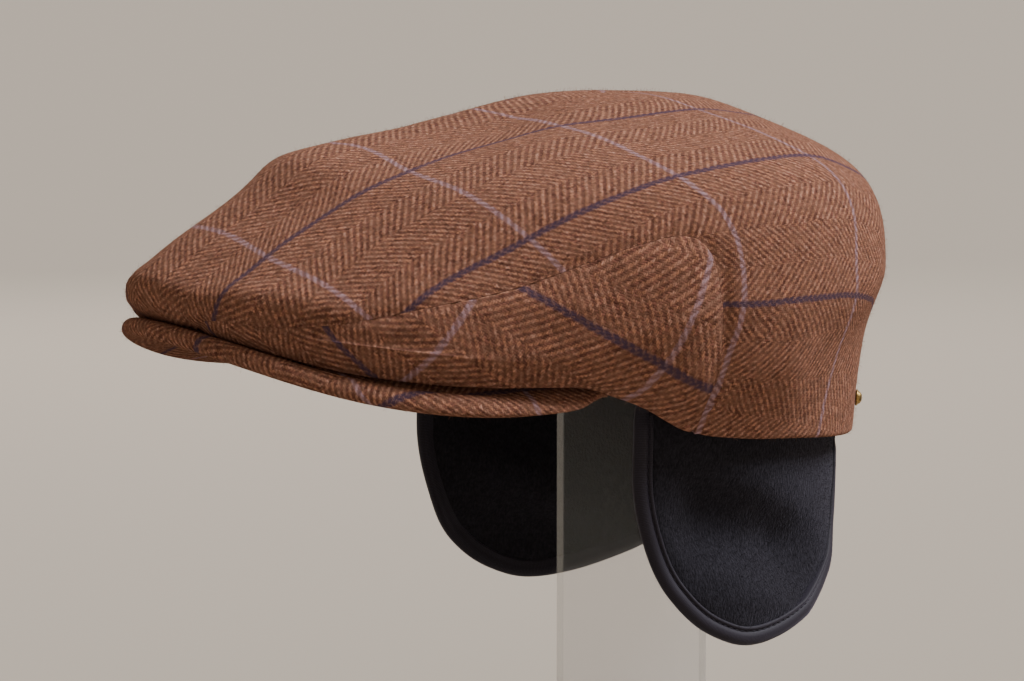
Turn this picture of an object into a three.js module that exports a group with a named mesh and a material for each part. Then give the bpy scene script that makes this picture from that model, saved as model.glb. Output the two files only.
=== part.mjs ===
// Flat cap with two hanging earflaps, held up by a clear display stand.
// Millimetres, +Z up. The wearer faces -Y, and the wearer's left is +X.
// The origin is the middle of the stand's underside.
import * as THREE from 'three';

// Driving sizes of the cap. Heights in the tables below are taken from the rim at the back.
const rimHeight = 115; // floor to the rim at the back
const crownTop = 115; // rim to the highest point over the head's middle
const clothThickness = 2.4;
const seamGap = 0.3; // each panel stops this far short of its seam
const seatGap = 0.4; // between a hard piece and the cloth that it is set on
const clothSeatGap = 0.7; // between the crown's inner face and an earflap

// One row for each section of the crown, by the angle from the front round to the back.
// Each pair is the reach from the middle of the head oval and the height, at four points down the section.
const crownSections = [
  { angle: 0, shoulder: [56.5, 106], knee: [102, 92.5], bulge: [153, 56], tuck: [151, 49] },
  { angle: 30, shoulder: [48, 103.5], knee: [98, 87], bulge: [133, 47], tuck: [134, 42] },
  { angle: 60, shoulder: [43, 107.5], knee: [93, 86], bulge: [106, 41], tuck: [104, 33] },
  { angle: 90, shoulder: [40, 110], knee: [90, 90], bulge: [101, 52], tuck: [91, 27] },
  { angle: 120, shoulder: [41, 112], knee: [95, 93], bulge: [105, 55], tuck: [96, 29] },
  { angle: 150, shoulder: [46, 113], knee: [98, 91], bulge: [110, 58], tuck: [102, 33] },
  { angle: 180, shoulder: [55, 113], knee: [97, 90], bulge: [113, 62], tuck: [108, 37] },
];

// The crown's lower edge: a rolled lip over the peak, then a notch at the temple, then the rim.
const lowerEdge = [
  { angle: 0, r: 146, z: 45 },
  { angle: 15, r: 141, z: 40.5 },
  { angle: 30, r: 129, z: 32.5 },
  { angle: 45, r: 113, z: 28 },
  { angle: 60, r: 98.5, z: 26.5 },
  { angle: 66, r: 93, z: 25.6 },
  { angle: 72, r: 88, z: 22.5 },
  { angle: 80, r: 85, z: 18 },
  { angle: 90, r: 84.5, z: 10 },
  { angle: 105, r: 85.5, z: 6 },
  { angle: 120, r: 88.5, z: 4 },
  { angle: 150, r: 98.5, z: 0.5 },
  { angle: 180, r: 105, z: 0 },
];

// How far down its section each named point of the crown lies, from the top (0) to the edge (1).
const downTop = 0;
const downShoulder = 0.25;
const downKnee = 0.52;
const downBulge = 0.76;
const downTuck = 0.9;
const downEdge = 1;

// The seam between the top panel and a side panel: up from the lip, along the side, down to the rim.
const seamLine = [
  { angle: 8, down: 1 },
  { angle: 13.5, down: 0.87 },
  { angle: 21, down: 0.8 },
  { angle: 30, down: 0.748 },
  { angle: 41, down: 0.7 },
  { angle: 53, down: 0.664 },
  { angle: 65, down: 0.634 },
  { angle: 76, down: 0.62 },
  { angle: 85, down: 0.622 },
  { angle: 90, down: 0.66 },
  { angle: 92, down: 0.74 },
  { angle: 93, down: 0.83 },
  { angle: 93, down: 0.92 },
  { angle: 92, down: 1 },
];
const seamSteps = 26;
const seamCorner = 16; // step at which the seam turns down
const lipSteps = 4; // from the front of the lip to the seam
const rimSteps = 16; // from the seam to the middle of the back
const firstLipAngle = 2; // of the first border point beside the middle line, at the front and at the back
const topPanelColumns = 11; // from the crown's middle line out to each seam, closer together near the seam
const topPanelCrowding = 1.5;
// Where the top panel's rows start on the middle line, from the lip (1) through the top (0) to the back (-1).
const rowStarts = { lip: 1, seamFront: 0.92, seamCorner: 0.08, seamBack: -0.78, back: -1 };
const sidePanelColumns = 7;
const sidePanelCornerAngle = 68; // foot of the side panel's row that runs to the seam's upper corner

// The peak is a stiff plate bent to an arch: its underside falls with the square of the way out.
const peakThickness = 3.2;
const peakTipThickness = 1.6;
const peakTaperFrom = 35; // angle at which the plate starts to thin towards its tips
const peakMiddleZ = 49.5; // underside at the middle line, carried back over the head's middle
const peakForwardFall = 0.063; // fall for each millimetre forwards
const peakArch = 0.0035; // fall for each square millimetre sideways
const peakEnd = 66; // angle of each tip, under the temple notch
const peakOuter = [
  { angle: 0, r: 154 },
  { angle: 15, r: 148.5 },
  { angle: 30, r: 137 },
  { angle: 45, r: 120 },
  { angle: 58, r: 104 },
  { angle: 66, r: 93.5 },
];
const peakInnerLength = 103; // half axes of the forehead edge
const peakInnerWidth = 83;
const peakSteps = 40; // from tip to tip
const peakDepthSteps = 5; // from the forehead edge to the front edge

// Each earflap hangs inside the rim. Its outline is given by angle and height, clockwise from the front.
const flapOutline = [
  { angle: 79.5, z: 26 },
  { angle: 79, z: 8 },
  { angle: 79, z: -10 },
  { angle: 81.5, z: -26 },
  { angle: 86.5, z: -42 },
  { angle: 94.5, z: -54 },
  { angle: 104, z: -61 },
  { angle: 112, z: -63 },
  { angle: 122, z: -61 },
  { angle: 132, z: -56 },
  { angle: 141, z: -49 },
  { angle: 149, z: -38 },
  { angle: 154.5, z: -22 },
  { angle: 157.5, z: -5 },
  { angle: 158, z: 9 },
];
const flapHalfLength = 98; // half axes of the oval that the flaps hang on
const flapHalfWidth = 79.5;
const flapThickness = 3;
const flapTurnUp = 9; // height of the flap's top edge above the rim
const flapLeavesRim = 4; // below the rim, where the flap starts to lean out to its seat
const flapMeanReach = 88; // sets the way along the oval for each degree
const flapEdgeSteps = 30;
const flapTopSteps = 10;
const flapRings = 6;
// A soft dent runs slantwise across each flap, and its foot flares out.
const dentDepth = 3.5;
const dentFront = { angle: 84, z: -6 };
const dentBack = { angle: 150, z: -34 };
const dentSpread = 13;
const dentFadeFrom = 130; // the dent dies out towards the back edge
const dentFadeTo = 152;
const footFlare = 4;
const footFlareFrom = -28;
const footFlareTo = -63;
const bindingWidth = 5.2;
const bindingThickness = 4.4;
const bindingSides = 8;

// A small brass stud on the rim, left of the middle of the back.
const studAngle = 158;
const studDown = 0.97;
const studRadius = 2.8;
const studHeight = 2;
const studRimHeight = 0.7; // straight edge under the dome
const studDomeSteps = 4;
const studSides = 14;

// The stand: an upright clear sheet in the middle plane, glued to a plate.
const uprightThickness = 5;
const uprightFront = 0;
const uprightBack = 57;
const uprightTopSteps = 8;
const uprightGap = 1; // below the curved inner face of the crown, whose flat facets sag into it
const glueGap = 0.3;
const baseLength = 160;
const baseWidth = 130;
const baseThickness = 6;
const baseCorner = 12;
const baseCornerSteps = 6;

const radians = (degrees) => (degrees * Math.PI) / 180;
const { lerp, smoothstep } = THREE.MathUtils;

// A smooth curve through values at rising stations, flat at both ends unless end slopes are given,
// and flat at one inner station where that is named.
function hermite(stations, values, at, firstSlope = 0, lastSlope = 0, flatAt = -1) {
  const last = stations.length - 1;
  let k = 0;
  while (k < last - 1 && at > stations[k + 1]) {
    k += 1;
  }
  const slope = (i) => {
    if (i === 0) return firstSlope;
    if (i === last) return lastSlope;
    if (i === flatAt) return 0;
    return (values[i + 1] - values[i - 1]) / (stations[i + 1] - stations[i - 1]);
  };
  const span = stations[k + 1] - stations[k];
  const u = (at - stations[k]) / span;
  const keep = (1 + 2 * u) * (1 - u) * (1 - u);
  const leave = u * (1 - u) * (1 - u) * span * slope(k);
  const arrive = u * u * (u - 1) * span * slope(k + 1);
  return keep * values[k] + (1 - keep) * values[k + 1] + leave + arrive;
}

function alongRows(rows, read, angle) {
  return hermite(rows.map((row) => row.angle), rows.map(read), angle);
}

function edgeHeight(angle) {
  return alongRows(lowerEdge, (row) => row.z, angle);
}

function atAngle(r, angle, z) {
  const turn = radians(angle);
  return new THREE.Vector3(r * Math.sin(turn), -r * Math.cos(turn), z);
}

// Reach of an oval with the given half axes, by the angle from the front.
function ovalReach(halfLength, halfWidth, angle) {
  const across = halfLength * Math.sin(radians(angle));
  const along = halfWidth * Math.cos(radians(angle));
  return (halfLength * halfWidth) / Math.hypot(across, along);
}

// Crown: outer surface at an angle and a way down its section.
const downStations = [downTop, downShoulder, downKnee, downBulge, downTuck, downEdge];

function crownSection(angle) {
  const turned = Math.abs(angle);
  const names = ['shoulder', 'knee', 'bulge', 'tuck'];
  const reach = names.map((name) => alongRows(crownSections, (row) => row[name][0], turned));
  const height = names.map((name) => alongRows(crownSections, (row) => row[name][1], turned));
  return {
    r: [0, ...reach, alongRows(lowerEdge, (row) => row.r, turned)],
    z: [crownTop, ...height, edgeHeight(turned)],
  };
}

function crownPoint(angle, down) {
  const { r, z } = crownSection(angle);
  const endSlope = (values) => (values.at(-1) - values.at(-2)) / (downEdge - downTuck);
  const bulge = downStations.indexOf(downBulge);
  const reach = hermite(downStations, r, down, r[1] / downShoulder, endSlope(r), bulge);
  const height = hermite(downStations, z, down, 0, endSlope(z));
  return atAngle(reach, angle, height);
}

// Flat map of the crown: the distance from the middle is the way down, the direction is the angle.
function onMap(angle, down) {
  return new THREE.Vector2(down * Math.cos(radians(angle)), down * Math.sin(radians(angle)));
}

function crownFromMap(place) {
  const angle = (Math.atan2(place.y, place.x) * 180) / Math.PI;
  return crownPoint(angle, Math.min(place.length(), downEdge));
}

function crownNormal(place) {
  const step = 0.004; // on the flat map
  const shift = (x, y) => crownPoint(
    (Math.atan2(place.y + y, place.x + x) * 180) / Math.PI,
    Math.hypot(place.x + x, place.y + y),
  );
  const lengthwise = shift(step, 0).sub(shift(-step, 0));
  const crosswise = shift(0, step).sub(shift(0, -step));
  return lengthwise.cross(crosswise).normalize();
}

// Way down the section, between two ways, at which the crown passes a place that the test is still above.
function searchDown(angle, low, high, isAbove) {
  const halvings = 30;
  let from = low;
  let to = high;
  for (let i = 0; i < halvings; i += 1) {
    const middle = (from + to) / 2;
    if (isAbove(crownPoint(angle, middle))) from = middle;
    else to = middle;
  }
  return (from + to) / 2;
}

function downAtHeight(angle, z) {
  return searchDown(angle, downBulge, downEdge, (point) => point.z > z);
}

function downAtReach(angle, reach) {
  return searchDown(angle, downTop, downBulge, (point) => Math.hypot(point.x, point.y) < reach);
}

// Closed meshes
function closedGeometry(points, faces) {
  const geometry = new THREE.BufferGeometry();
  const places = points.flatMap((p) => [p.x, p.y, p.z]);
  geometry.setAttribute('position', new THREE.Float32BufferAttribute(places, 3));
  let volume = 0;
  for (const [a, b, c] of faces) {
    volume += points[a].dot(new THREE.Vector3().crossVectors(points[b], points[c]));
  }
  const outward = volume > 0 ? faces : faces.map(([a, b, c]) => [a, c, b]);
  geometry.setIndex(outward.flat());
  geometry.computeVertexNormals();
  return geometry;
}

// A wall between two grids of points that face each other, closed round its border.
function wallGeometry(outer, inner) {
  const rows = outer.length;
  const columns = outer[0].length;
  const points = [...outer.flat(), ...inner.flat()];
  const faces = [];
  const at = (i, j, side) => side * rows * columns + i * columns + j;
  const quad = (a, b, c, d) => faces.push([a, b, c], [a, c, d]);
  for (let i = 0; i < rows - 1; i += 1) {
    for (let j = 0; j < columns - 1; j += 1) {
      quad(at(i, j, 0), at(i + 1, j, 0), at(i + 1, j + 1, 0), at(i, j + 1, 0));
      quad(at(i, j, 1), at(i, j + 1, 1), at(i + 1, j + 1, 1), at(i + 1, j, 1));
    }
  }
  for (let i = 0; i < rows - 1; i += 1) {
    quad(at(i, 0, 0), at(i, 0, 1), at(i + 1, 0, 1), at(i + 1, 0, 0));
    quad(at(i, columns - 1, 0), at(i + 1, columns - 1, 0), at(i + 1, columns - 1, 1), at(i, columns - 1, 1));
  }
  for (let j = 0; j < columns - 1; j += 1) {
    quad(at(0, j, 0), at(0, j + 1, 0), at(0, j + 1, 1), at(0, j, 1));
    quad(at(rows - 1, j, 0), at(rows - 1, j, 1), at(rows - 1, j + 1, 1), at(rows - 1, j + 1, 0));
  }
  return closedGeometry(points, faces);
}

// A skin over rings of points, closed by a fan at each end.
function ringGeometry(rings) {
  const count = rings[0].length;
  const points = rings.flat();
  const faces = [];
  for (let i = 0; i < rings.length - 1; i += 1) {
    for (let j = 0; j < count; j += 1) {
      const next = (j + 1) % count;
      faces.push([i * count + j, i * count + next, (i + 1) * count + next]);
      faces.push([i * count + j, (i + 1) * count + next, (i + 1) * count + j]);
    }
  }
  const fan = (ring, start, flip) => {
    const middle = points.length;
    const centre = ring.reduce((sum, p) => sum.add(p), new THREE.Vector3()).divideScalar(count);
    points.push(centre);
    for (let j = 0; j < count; j += 1) {
      const next = (j + 1) % count;
      faces.push(flip ? [middle, start + next, start + j] : [middle, start + j, start + next]);
    }
  };
  fan(rings[0], 0, true);
  fan(rings[rings.length - 1], (rings.length - 1) * count, false);
  return closedGeometry(points, faces);
}

function mirrored(point, side) {
  return new THREE.Vector3(point.x * side, point.y, point.z);
}

// Points of a smooth curve through a table of two columns, at even steps.
function smoothPath(rows, columns, steps) {
  const curve = new THREE.SplineCurve(rows.map((row) => new THREE.Vector2(row[columns[0]], row[columns[1]])));
  return Array.from({ length: steps + 1 }, (_, i) => curve.getPoint(i / steps));
}

const seamPath = smoothPath(seamLine, ['angle', 'down'], seamSteps);
const seamOnMap = seamPath.map((p) => onMap(p.x, Math.min(p.y, downEdge)));

// Border of the left half of the top panel on the flat map, with each row's start on the middle line.
function topPanelBorder() {
  const border = [];
  for (let i = 0; i < lipSteps; i += 1) {
    const along = i / lipSteps;
    const angle = lerp(firstLipAngle, seamLine[0].angle, along);
    border.push({ place: onMap(angle, downEdge), start: lerp(rowStarts.lip, rowStarts.seamFront, along) });
  }
  seamOnMap.forEach((place, i) => {
    const start = i < seamCorner
      ? lerp(rowStarts.seamFront, rowStarts.seamCorner, i / seamCorner)
      : lerp(rowStarts.seamCorner, rowStarts.seamBack, (i - seamCorner) / (seamSteps - seamCorner));
    border.push({ place, start, onSeam: true });
  });
  const seamEnd = seamLine[seamLine.length - 1].angle;
  for (let i = 1; i <= rimSteps; i += 1) {
    const along = i / rimSteps;
    const angle = lerp(seamEnd, 180 - firstLipAngle, along);
    border.push({ place: onMap(angle, downEdge), start: lerp(rowStarts.seamBack, rowStarts.back, along) });
  }
  return border;
}

function clothGrids(map) {
  const outer = map.map((row) => row.map((place) => crownFromMap(place)));
  const inner = map.map((row, i) => row.map((place, j) => (
    outer[i][j].clone().addScaledVector(crownNormal(place), -clothThickness)
  )));
  return { outer, inner };
}

// Moves the border column of a panel back from its seam.
function backFromSeam(grids, rowsOnSeam, column, neighbour) {
  for (const i of rowsOnSeam) {
    const away = grids.outer[i][neighbour].clone().sub(grids.outer[i][column]).setLength(seamGap);
    grids.outer[i][column].add(away);
    grids.inner[i][column].add(away);
  }
}

function topPanelGeometry() {
  const border = topPanelBorder();
  const map = border.map(({ place, start }) => {
    const row = [];
    for (let j = -topPanelColumns; j <= topPanelColumns; j += 1) {
      const out = 1 - (1 - Math.abs(j) / topPanelColumns) ** topPanelCrowding;
      const side = Math.sign(j);
      row.push(new THREE.Vector2(lerp(start, place.x, out), side * place.y * out));
    }
    return row;
  });
  const grids = clothGrids(map);
  const rowsOnSeam = border.map((row, i) => (row.onSeam ? i : -1)).filter((i) => i >= 0);
  backFromSeam(grids, rowsOnSeam, 0, 1);
  backFromSeam(grids, rowsOnSeam, 2 * topPanelColumns, 2 * topPanelColumns - 1);
  return wallGeometry(grids.outer, grids.inner);
}

function sidePanelGeometry(side) {
  const firstAngle = seamLine[0].angle;
  const lastAngle = seamLine[seamLine.length - 1].angle;
  const map = [];
  for (let i = 1; i < seamSteps; i += 1) {
    const angle = i < seamCorner
      ? lerp(firstAngle, sidePanelCornerAngle, i / seamCorner)
      : lerp(sidePanelCornerAngle, lastAngle, (i - seamCorner) / (seamSteps - seamCorner));
    const foot = onMap(angle, downEdge);
    const row = [];
    for (let j = 0; j <= sidePanelColumns; j += 1) {
      row.push(foot.clone().lerp(seamOnMap[i], j / sidePanelColumns));
    }
    map.push(row);
  }
  const grids = clothGrids(map);
  backFromSeam(grids, map.map((_, i) => i), sidePanelColumns, sidePanelColumns - 1);
  const turn = (grid) => grid.map((row) => row.map((point) => mirrored(point, side)));
  return wallGeometry(turn(grids.outer), turn(grids.inner));
}

// Peak: sections across the plate, with a rounded front edge, from one tip to the other.
function peakUnderside(x, y) {
  return peakMiddleZ + peakForwardFall * y - peakArch * x * x;
}

function peakGeometry() {
  const rings = [];
  for (let i = 0; i <= peakSteps; i += 1) {
    const angle = lerp(-peakEnd, peakEnd, i / peakSteps);
    const inner = ovalReach(peakInnerLength, peakInnerWidth, angle);
    const outer = alongRows(peakOuter, (row) => row.r, Math.abs(angle));
    const taper = smoothstep(Math.abs(angle), peakTaperFrom, peakEnd);
    const thickness = lerp(peakThickness, peakTipThickness, taper);
    const edgeRound = thickness / 2;
    const point = (reach, raise) => {
      const p = atAngle(reach, angle, 0);
      p.z = peakUnderside(p.x, p.y) + raise;
      return p;
    };
    const reaches = Array.from({ length: peakDepthSteps + 1 }, (_, j) => (
      lerp(inner, outer - edgeRound, j / peakDepthSteps)
    ));
    rings.push([
      ...reaches.map((reach) => point(reach, 0)),
      point(outer, edgeRound),
      ...reaches.reverse().map((reach) => point(reach, thickness)),
    ]);
  }
  return ringGeometry(rings);
}

// Earflaps: a curved sheet on the head oval, seated against the inside of the rim at its top.
function flapReach(angle, z) {
  const hang = ovalReach(flapHalfLength, flapHalfWidth, angle);
  const along = (angle - dentFront.angle) / (dentBack.angle - dentFront.angle);
  const dentZ = lerp(dentFront.z, dentBack.z, along);
  const fade = 1 - smoothstep(angle, dentFadeFrom, dentFadeTo);
  const dent = dentDepth * fade * Math.exp(-(((z - dentZ) / dentSpread) ** 2));
  const flare = footFlare * (1 - smoothstep(z, footFlareTo, footFlareFrom));
  const rimZ = edgeHeight(angle);
  const seatPoint = crownPoint(angle, downAtHeight(angle, Math.max(z, rimZ)));
  const seat = Math.hypot(seatPoint.x, seatPoint.y) - clothThickness - clothSeatGap;
  const seated = smoothstep(z, rimZ - flapLeavesRim, rimZ + flapTurnUp);
  return lerp(Math.min(hang - dent + flare, seat), seat, seated);
}

function flapPoint(angle, z, inward = 0) {
  return atAngle(flapReach(angle, z) - inward, angle, z);
}

// The outline as places on the unrolled flap: way along the oval and height.
const ovalScale = radians(1) * flapMeanReach; // millimetres for each degree
const outlinePath = smoothPath(flapOutline, ['angle', 'z'], flapEdgeSteps);

function insetOutline(inset) {
  return outlinePath.map((place, i) => {
    const before = outlinePath[Math.max(i - 1, 0)];
    const after = outlinePath[Math.min(i + 1, flapEdgeSteps)];
    const along = new THREE.Vector2((after.x - before.x) * ovalScale, after.y - before.y).normalize();
    return new THREE.Vector2(place.x + (-along.y * inset) / ovalScale, place.y + along.x * inset);
  });
}

function flapGeometry(side) {
  const edge = insetOutline(bindingWidth + seamGap);
  const firstAngle = edge[flapEdgeSteps].x;
  const lastAngle = edge[0].x;
  for (let i = 1; i < flapTopSteps; i += 1) {
    const angle = lerp(firstAngle, lastAngle, i / flapTopSteps);
    edge.push(new THREE.Vector2(angle, edgeHeight(angle) + flapTurnUp));
  }
  const middle = edge.reduce((sum, p) => sum.add(p), new THREE.Vector2()).divideScalar(edge.length);
  const ring = (share, inward) => edge.map((place) => {
    const p = middle.clone().lerp(place, share);
    return mirrored(flapPoint(p.x, p.y, inward), side);
  });
  const shares = Array.from({ length: flapRings }, (_, i) => (i + 1) / flapRings);
  const outerFace = shares.map((share) => ring(share, 0));
  const innerFace = shares.slice().reverse().map((share) => ring(share, flapThickness));
  return ringGeometry([...outerFace, ...innerFace]);
}

// The binding ends just under the rim.
function bindingGeometry(side) {
  const belowRim = (place) => place.y < edgeHeight(place.x) - bindingThickness / 2;
  const centreLine = insetOutline(bindingWidth / 2).filter(belowRim);
  const rings = centreLine.map((place, i) => {
    const before = centreLine[Math.max(i - 1, 0)];
    const after = centreLine[Math.min(i + 1, centreLine.length - 1)];
    const middle = flapPoint(place.x, place.y, flapThickness / 2);
    const along = flapPoint(after.x, after.y).sub(flapPoint(before.x, before.y)).normalize();
    const outward = atAngle(1, place.x, 0);
    const across = new THREE.Vector3().crossVectors(along, outward).normalize();
    const lift = new THREE.Vector3().crossVectors(across, along).normalize();
    return Array.from({ length: bindingSides }, (_, j) => {
      const turn = ((j + 0.5) * 2 * Math.PI) / bindingSides;
      const p = middle.clone();
      p.addScaledVector(across, (Math.cos(turn) * bindingWidth) / 2);
      p.addScaledVector(lift, (Math.sin(turn) * bindingThickness) / 2);
      return mirrored(p, side);
    });
  });
  return ringGeometry(rings);
}

// Stud: a low dome turned about its own axis, standing on the cloth.
function studGeometry() {
  const profile = [new THREE.Vector2(0, 0), new THREE.Vector2(studRadius, 0)];
  for (let i = 0; i <= studDomeSteps; i += 1) {
    const turn = (i / studDomeSteps) * (Math.PI / 2);
    profile.push(new THREE.Vector2(
      i === studDomeSteps ? 0 : studRadius * Math.cos(turn),
      studRimHeight + (studHeight - studRimHeight) * Math.sin(turn),
    ));
  }
  return new THREE.LatheGeometry(profile, studSides);
}

// Stand upright: its top edge follows the inside of the crown.
function uprightGeometry() {
  const foot = baseThickness + glueGap;
  const outline = new THREE.Shape();
  outline.moveTo(uprightFront, foot);
  outline.lineTo(uprightBack, foot);
  for (let i = 0; i <= uprightTopSteps; i += 1) {
    const y = lerp(uprightBack, uprightFront, i / uprightTopSteps);
    const x = uprightThickness / 2;
    const angle = (Math.atan2(x, -y) * 180) / Math.PI;
    const place = onMap(angle, downAtReach(angle, Math.hypot(x, y)));
    const underside = crownFromMap(place).addScaledVector(crownNormal(place), -clothThickness);
    outline.lineTo(y, rimHeight + underside.z - uprightGap);
  }
  outline.closePath();
  const geometry = new THREE.ExtrudeGeometry(outline, { depth: uprightThickness, bevelEnabled: false });
  // The outline is drawn with Y across and Z up, so the sheet is turned upright into the middle plane.
  geometry.translate(0, 0, -uprightThickness / 2);
  geometry.applyMatrix4(new THREE.Matrix4().makeBasis(
    new THREE.Vector3(0, 1, 0),
    new THREE.Vector3(0, 0, 1),
    new THREE.Vector3(1, 0, 0),
  ));
  return geometry;
}

function baseGeometry() {
  const x = baseWidth / 2 - baseCorner;
  const y = baseLength / 2 - baseCorner;
  const outline = new THREE.Shape();
  outline.absarc(x, y, baseCorner, 0, Math.PI / 2);
  outline.absarc(-x, y, baseCorner, Math.PI / 2, Math.PI);
  outline.absarc(-x, -y, baseCorner, Math.PI, 1.5 * Math.PI);
  outline.absarc(x, -y, baseCorner, 1.5 * Math.PI, 2 * Math.PI);
  outline.closePath();
  return new THREE.ExtrudeGeometry(outline, {
    depth: baseThickness, bevelEnabled: false, curveSegments: baseCornerSteps,
  });
}

// Assembly
const tweed = new THREE.MeshStandardMaterial({ color: 0x8a6248, roughness: 0.95, metalness: 0 });
const fleece = new THREE.MeshStandardMaterial({ color: 0x26242a, roughness: 1, metalness: 0 });
const tape = new THREE.MeshStandardMaterial({ color: 0x2c2934, roughness: 0.75, metalness: 0 });
const brass = new THREE.MeshStandardMaterial({ color: 0xb08d4f, roughness: 0.35, metalness: 1 });
const acrylic = new THREE.MeshStandardMaterial({
  color: 0xe6edf0, roughness: 0.08, metalness: 0, transparent: true, opacity: 0.3,
});

function piece(name, geometry, material) {
  const mesh = new THREE.Mesh(geometry, material);
  mesh.name = name;
  return mesh;
}

const cap = new THREE.Group();
cap.position.z = rimHeight;
cap.add(piece('top_panel', topPanelGeometry(), tweed));
cap.add(piece('peak', peakGeometry(), tweed));
for (const [word, side] of [['left', 1], ['right', -1]]) {
  cap.add(piece(`side_panel_${word}`, sidePanelGeometry(side), tweed));
  cap.add(piece(`earflap_${word}`, flapGeometry(side), fleece));
  cap.add(piece(`earflap_binding_${word}`, bindingGeometry(side), tape));
}

const stud = piece('back_stud', studGeometry(), brass);
const studPlace = onMap(studAngle, studDown);
const studAxis = crownNormal(studPlace);
stud.position.copy(crownFromMap(studPlace)).addScaledVector(studAxis, seatGap);
stud.quaternion.setFromUnitVectors(new THREE.Vector3(0, 1, 0), studAxis);
cap.add(stud);

const stand = new THREE.Group();
stand.add(piece('stand_upright', uprightGeometry(), acrylic));
stand.add(piece('stand_base', baseGeometry(), acrylic));

const part = new THREE.Group();
part.add(cap, stand);
export default part;
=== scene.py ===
import math
import bmesh
import bpy
import numpy as np
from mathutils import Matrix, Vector


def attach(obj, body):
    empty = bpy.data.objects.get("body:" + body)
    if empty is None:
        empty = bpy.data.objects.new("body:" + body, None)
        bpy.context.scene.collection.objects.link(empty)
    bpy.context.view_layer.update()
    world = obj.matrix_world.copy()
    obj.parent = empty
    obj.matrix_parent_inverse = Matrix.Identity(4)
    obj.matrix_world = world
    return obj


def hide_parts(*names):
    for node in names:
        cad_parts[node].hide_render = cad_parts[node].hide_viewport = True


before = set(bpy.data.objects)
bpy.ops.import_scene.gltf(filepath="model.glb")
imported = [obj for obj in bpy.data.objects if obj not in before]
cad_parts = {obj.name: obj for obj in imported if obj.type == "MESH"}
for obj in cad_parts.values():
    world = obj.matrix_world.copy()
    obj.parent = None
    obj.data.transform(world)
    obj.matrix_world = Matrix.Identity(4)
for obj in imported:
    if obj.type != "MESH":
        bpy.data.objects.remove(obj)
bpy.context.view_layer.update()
print("frame loaded:", len(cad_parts), "nodes")

# Sizes are in millimetres, as on the paper pattern, and meshes are made in metres.
# The wearer looks along -Y and the wearer's left is +X. Angles run from the front (0) to the back (180).
mm = 0.001
rimHeight = 115  # the rim at the back stands this far above the floor
capMiddle = 40   # a height inside the cap, over the rim
bothSides = (("Left", 1), ("Right", -1))
pieces = {}      # finished pieces by name
skins = {}       # outer faces by the piece's name, for fibres to stand on


# node helpers: a wire is a node's output that can be used in sums

class Wire:
    def __init__(self, tree, socket):
        self.tree = tree
        self.socket = socket

    def also(self, name):
        # another output of the same node
        return Wire(self.tree, self.socket.node.outputs[name])

    def maths(self, operation, *others):
        return addNode(self.tree, "ShaderNodeMath", dict(enumerate((self,) + others)), operation=operation)

    def __add__(self, other):
        return self.maths("ADD", other)

    def __sub__(self, other):
        return self.maths("SUBTRACT", other)

    def __rsub__(self, other):
        return addNode(self.tree, "ShaderNodeMath", {0: other, 1: self}, operation="SUBTRACT")

    def __mul__(self, other):
        return self.maths("MULTIPLY", other)

    def __truediv__(self, other):
        return self.maths("DIVIDE", other)


def plug(tree, socket, value):
    if isinstance(value, Wire):
        tree.links.new(value.socket, socket)
    else:
        socket.default_value = value


def addNode(tree, kind, inputs=None, output=0, **settings):
    made = tree.nodes.new(kind)
    for name, value in settings.items():
        setattr(made, name, value)
    for name, value in (inputs or {}).items():
        plug(tree, made.inputs[name], value)
    return Wire(tree, made.outputs[output])


def ramp(value, low, high, toLow=0.0, toHigh=1.0):
    return addNode(value.tree, "ShaderNodeMapRange", {
        "Value": value, "From Min": low, "From Max": high, "To Min": toLow, "To Max": toHigh,
    }, interpolation_type="SMOOTHSTEP")


def blendColor(share, first, second, way="MIX"):
    tree = next(value.tree for value in (share, first, second) if isinstance(value, Wire))
    return addNode(tree, "ShaderNodeMix", {0: share, 6: first, 7: second}, 2,
                   data_type="RGBA", blend_type=way)


def noise(place, scale, detail=2.0, rough=0.5):
    return addNode(place.tree, "ShaderNodeTexNoise", {
        "Vector": place, "Scale": scale, "Detail": detail, "Roughness": rough,
    })


def stretched(place, size):
    return addNode(place.tree, "ShaderNodeMapping", {"Vector": place, "Scale": size})


def objectPlace(tree):
    return addNode(tree, "ShaderNodeTexCoord", output="Object")


def clothPlace(tree):
    # a place on the laid-out cloth, and its parts across and along
    place = addNode(tree, "ShaderNodeUVMap", uv_map="cloth")
    across = addNode(tree, "ShaderNodeSeparateXYZ", {0: place})
    return place, across, across.also("Y")


def dress(tree, looks, bump=None):
    # sets or links a surface's sockets; a bump is a height, its distance and its strength
    surface = tree.nodes["Principled BSDF"].inputs
    for name, value in looks.items():
        plug(tree, surface[name], value)
    if bump:
        height, distance, strength = bump
        plug(tree, surface["Normal"], addNode(tree, "ShaderNodeBump", {
            "Height": height, "Distance": distance * mm, "Strength": strength,
        }))


def newMaterial(name, looks):
    made = bpy.data.materials.new(name)
    made.use_nodes = True
    dress(made.node_tree, looks)
    return made, made.node_tree


# camera, floor and light

shot = {
    "lens": 134.8,
    "sensor": 36,
    "place": (1133.9, -621.3, 282.6),
    "target": (-7.64, -14.37, 146.69),
    "farLimit": 60,
}

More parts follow.
